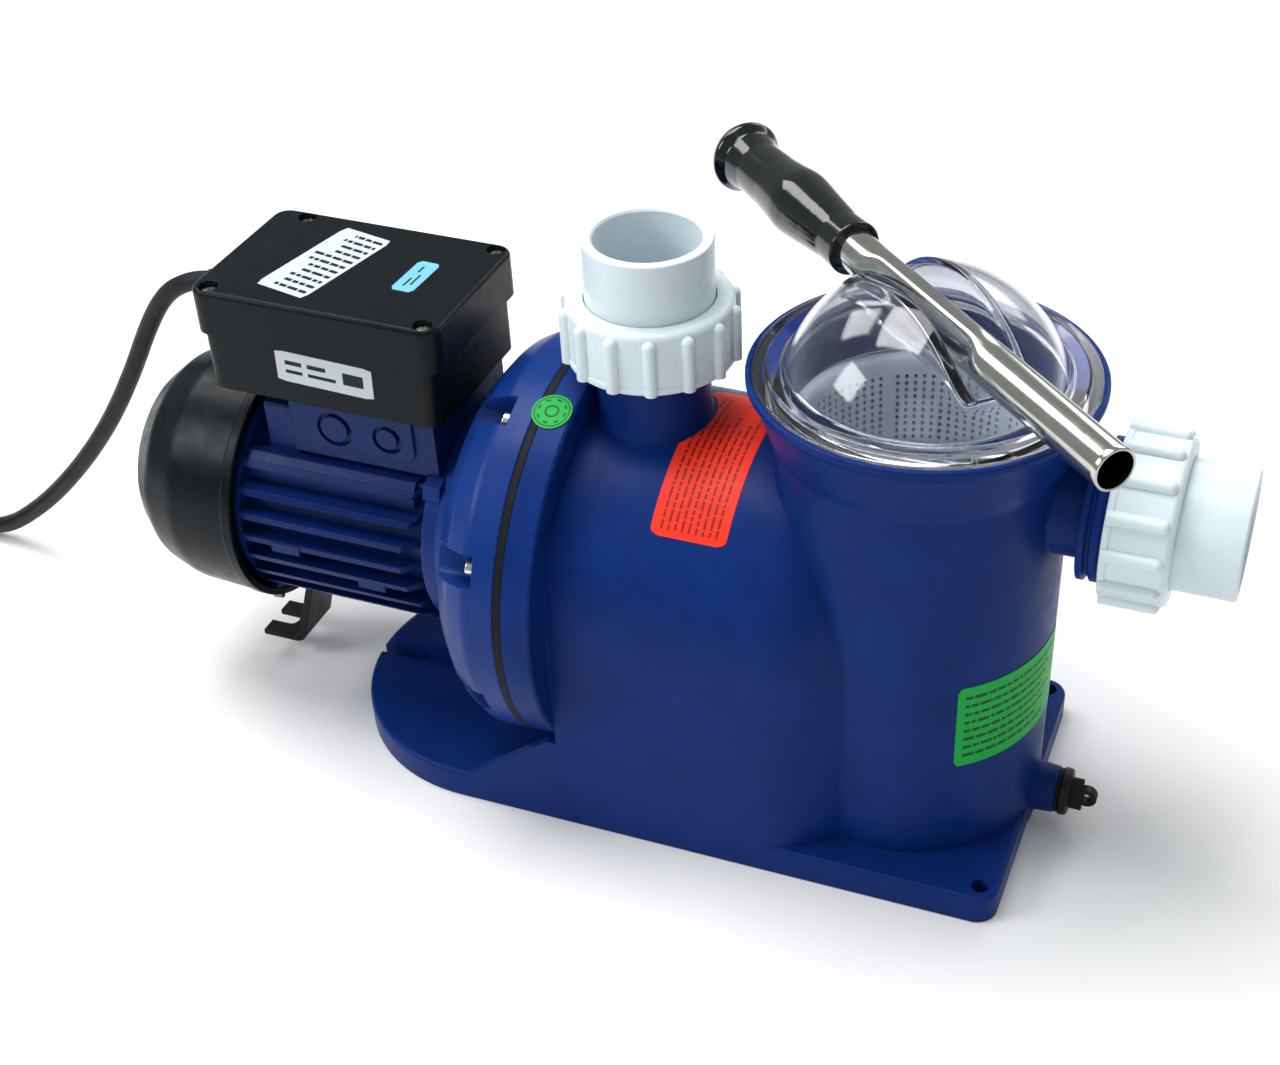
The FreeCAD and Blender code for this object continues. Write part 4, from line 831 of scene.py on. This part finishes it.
label("label_on_volute", orange_at, 100.0, 38.0, 4.0, "label_orange", "ink_dark_red", [m_ for m_ in bars(100.0, 38.0, 9, 3.0, pad=3.5, fill=0.34, along="s")], nu=50, nv=20)


def green_at(s, t, lift):
    ang = -26.0 + s / 69.2 * 57.2958
    q_ = math.radians(ang)
    d = Vector((math.cos(q_), math.sin(q_), 0))
    z = 97.0 + t
    o_ = Vector((PX, 0, z)) + d * 100.0
    p, n_ = cast(o_, -d)
    if p is None:
        p = (Vector((PX, 0, z)) + d * 69.0) * MM
    return p + d * (lift * MM)


label("label_on_pot", green_at, 76.0, 49.0, 3.0, "label_green", "ink_green", bars(76.0, 49.0, 8, 11.0, pad=4.0, fill=0.36, along="s"), nu=40, nv=14)


def round_label(name, base, ink):
    verts, faces, fm = [], [], []
    xc, ac, R = -36.9, 69.5, 103.9

    def pt(rx, q_, lift):
        x = xc + rx * math.cos(q_)
        a_ = math.radians(ac) + rx * math.sin(q_) / R
        return Vector((x, -(R + lift) * math.cos(a_), ZM + (R + lift) * math.sin(a_))) * MM
    NQ = 48

    def disc(r0, r1, l0, l1, mi, q0=0.0, q1=2 * math.pi):
        full = abs(q1 - q0 - 2 * math.pi) < 1e-6
        nq = NQ if full else max(3, int(NQ * (q1 - q0) / (2 * math.pi)))
        rr = [r0, (r0 + r1) / 2, r1]
        b0 = len(verts)
        m_ = nq if full else nq + 1
        for l_ in (l0, l1):
            for r in rr:
                for j in range(m_):
                    verts.append(pt(r, q0 + (q1 - q0) * j / nq, l_))
        ring = m_
        lay = 3 * m_
        for i in range(2):
            for j in range(nq):
                k = (j + 1) % ring
                A, B, C, D = b0 + i * ring + j, b0 + i * ring + k, b0 + (i + 1) * ring + k, b0 + (i + 1) * ring + j
                faces.append((A + lay, D + lay, C + lay, B + lay))
                faces.append((A, B, C, D))
                fm.extend([mi, mi])
        for j in range(nq):
            k = (j + 1) % ring
            A, B = b0 + 2 * ring + j, b0 + 2 * ring + k
            faces.append((A, B, B + lay, A + lay))
            fm.append(mi)
            if r0 > 0.05:
                A, B = b0 + j, b0 + k
                faces.append((B, A, A + lay, B + lay))
                fm.append(mi)
        if not full:
            for j in (0, nq):
                for i in range(2):
                    A, B = b0 + i * ring + j, b0 + (i + 1) * ring + j
                    faces.append((A, B, B + lay, A + lay) if j == 0 else (B, A, A + lay, B + lay))
                    fm.append(mi)
    disc(0.03, 9.8, -0.35, 0.22, 0)
    disc(8.2, 8.8, 0.20, 0.26, 1)
    for q_ in (0.4, 1.2, 2.0, 2.8, 3.6, 4.4, 5.2, 6.0):
        disc(6.2, 7.3, 0.20, 0.26, 1, q_, q_ + 0.34)
    disc(2.6, 3.6, 0.20, 0.26, 1)
    return make(name, verts, faces, None, "root", deg=60, mats=[M[base], M[ink]], fmat=fm)


round_label("label_on_joint", "label_green", "ink_green")


def flat_on(cx_, cy_, z, ang):
    c, s = math.cos(math.radians(ang)), math.sin(math.radians(ang))

    def f(a_, b_, lift):
        return Vector((cx_ + a_ * c - b_ * s, cy_ + a_ * s + b_ * c, z + lift)) * MM
    return f


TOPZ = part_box("terminal_lid")[1][2] / MM
label("label_rating", flat_on(-171.1, 0.0, TOPZ - 0.08, 77.9), 65.3, 29.5, 1.2, "label_white", "ink_black", bars(65.3, 29.5, 11, 21.0, pad=2.2, fill=0.40), nu=12, nv=6)
label("label_serial", flat_on(-122.6, 1.2, TOPZ - 0.08, 87.6), 29.3, 11.8, 1.6, "label_cyan", "ink_black", [(-10, -2, 0.6, 1.6), (-8, 2, -2.2, -1.2), (4, 10, 0.4, 1.4)], nu=10, nv=6)


def front_at(a_, b_, lift):
    t = math.radians(-2.0)
    return Vector((-153.4 + a_ * math.cos(t) - b_ * math.sin(t), -42.52 - lift, 218.0 + a_ * math.sin(t) + b_ * math.cos(t))) * MM


label("label_front", front_at, 51.8, 17.0, 0.8, "label_white", "ink_black", [(-21, -12, -3.5, -1.6), (-21, -12, 1.2, 3.6), (-9, 6, -3.5, -1.6), (-9, 1, 1.2, 3.6), (10, 21, -3.2, 3.4)], nu=10, nv=6)

# ------------------------------------------------------------ floor and light
fv = [(-9, -9, -0.0004), (9, -9, -0.0004), (9, 9, -0.0004), (-9, 9, -0.0004)]
fm_ = bpy.data.meshes.new("floor")
fm_.from_pydata(fv, [], [(0, 1, 2, 3)])
floor = link(bpy.data.objects.new("floor", fm_))
fmat_, nt, b = new_mat("pale_floor")
b.inputs["Base Color"].default_value = (0.90, 0.90, 0.90, 1)
b.inputs["Roughness"].default_value = 0.75
b.inputs["Specular IOR Level"].default_value = 0.2
fm_.materials.append(fmat_)

world = bpy.data.worlds.new("studio")
SC.world = world
world.use_nodes = True
bg = world.node_tree.nodes["Background"]
bg.inputs[0].default_value = (0.96, 0.98, 1.0, 1)
bg.inputs[1].default_value = 0.36


def area(name, loc, target, size, power, col=(1, 1, 1), size_y=None):
    ld = bpy.data.lights.new(name, "AREA")
    ld.energy = power
    ld.color = col
    ld.size = size
    if size_y:
        ld.shape = "RECTANGLE"
        ld.size_y = size_y
    o = link(bpy.data.objects.new(name, ld))
    d = Vector(target) - Vector(loc)
    o.matrix_world = Matrix.Translation(loc) @ d.to_track_quat("-Z", "Y").to_matrix().to_4x4()
    return o


area("key_top", (-0.55, 0.10, 2.7), (-0.1, 0, 0.1), 1.5, 58)
area("fill_left", (-1.4, -0.9, 1.2), (-0.1, 0, 0.15), 0.7, 13, (0.95, 0.98, 1.0))
area("side_box", (-1.42, 0.50, 1.68), (0.05, 0, 0.2), 0.75, 11)
area("fill_front", (0.4, -1.9, 1.2), (0, 0, 0.15), 1.0, 2.5)
area("rim_back", (0.5, 1.6, 1.2), (0, 0, 0.2), 1.0, 8)

SC.view_settings.view_transform = "Standard"
SC.view_settings.look = "None"
SC.view_settings.exposure = 0.0
SC.view_settings.gamma = 1.0
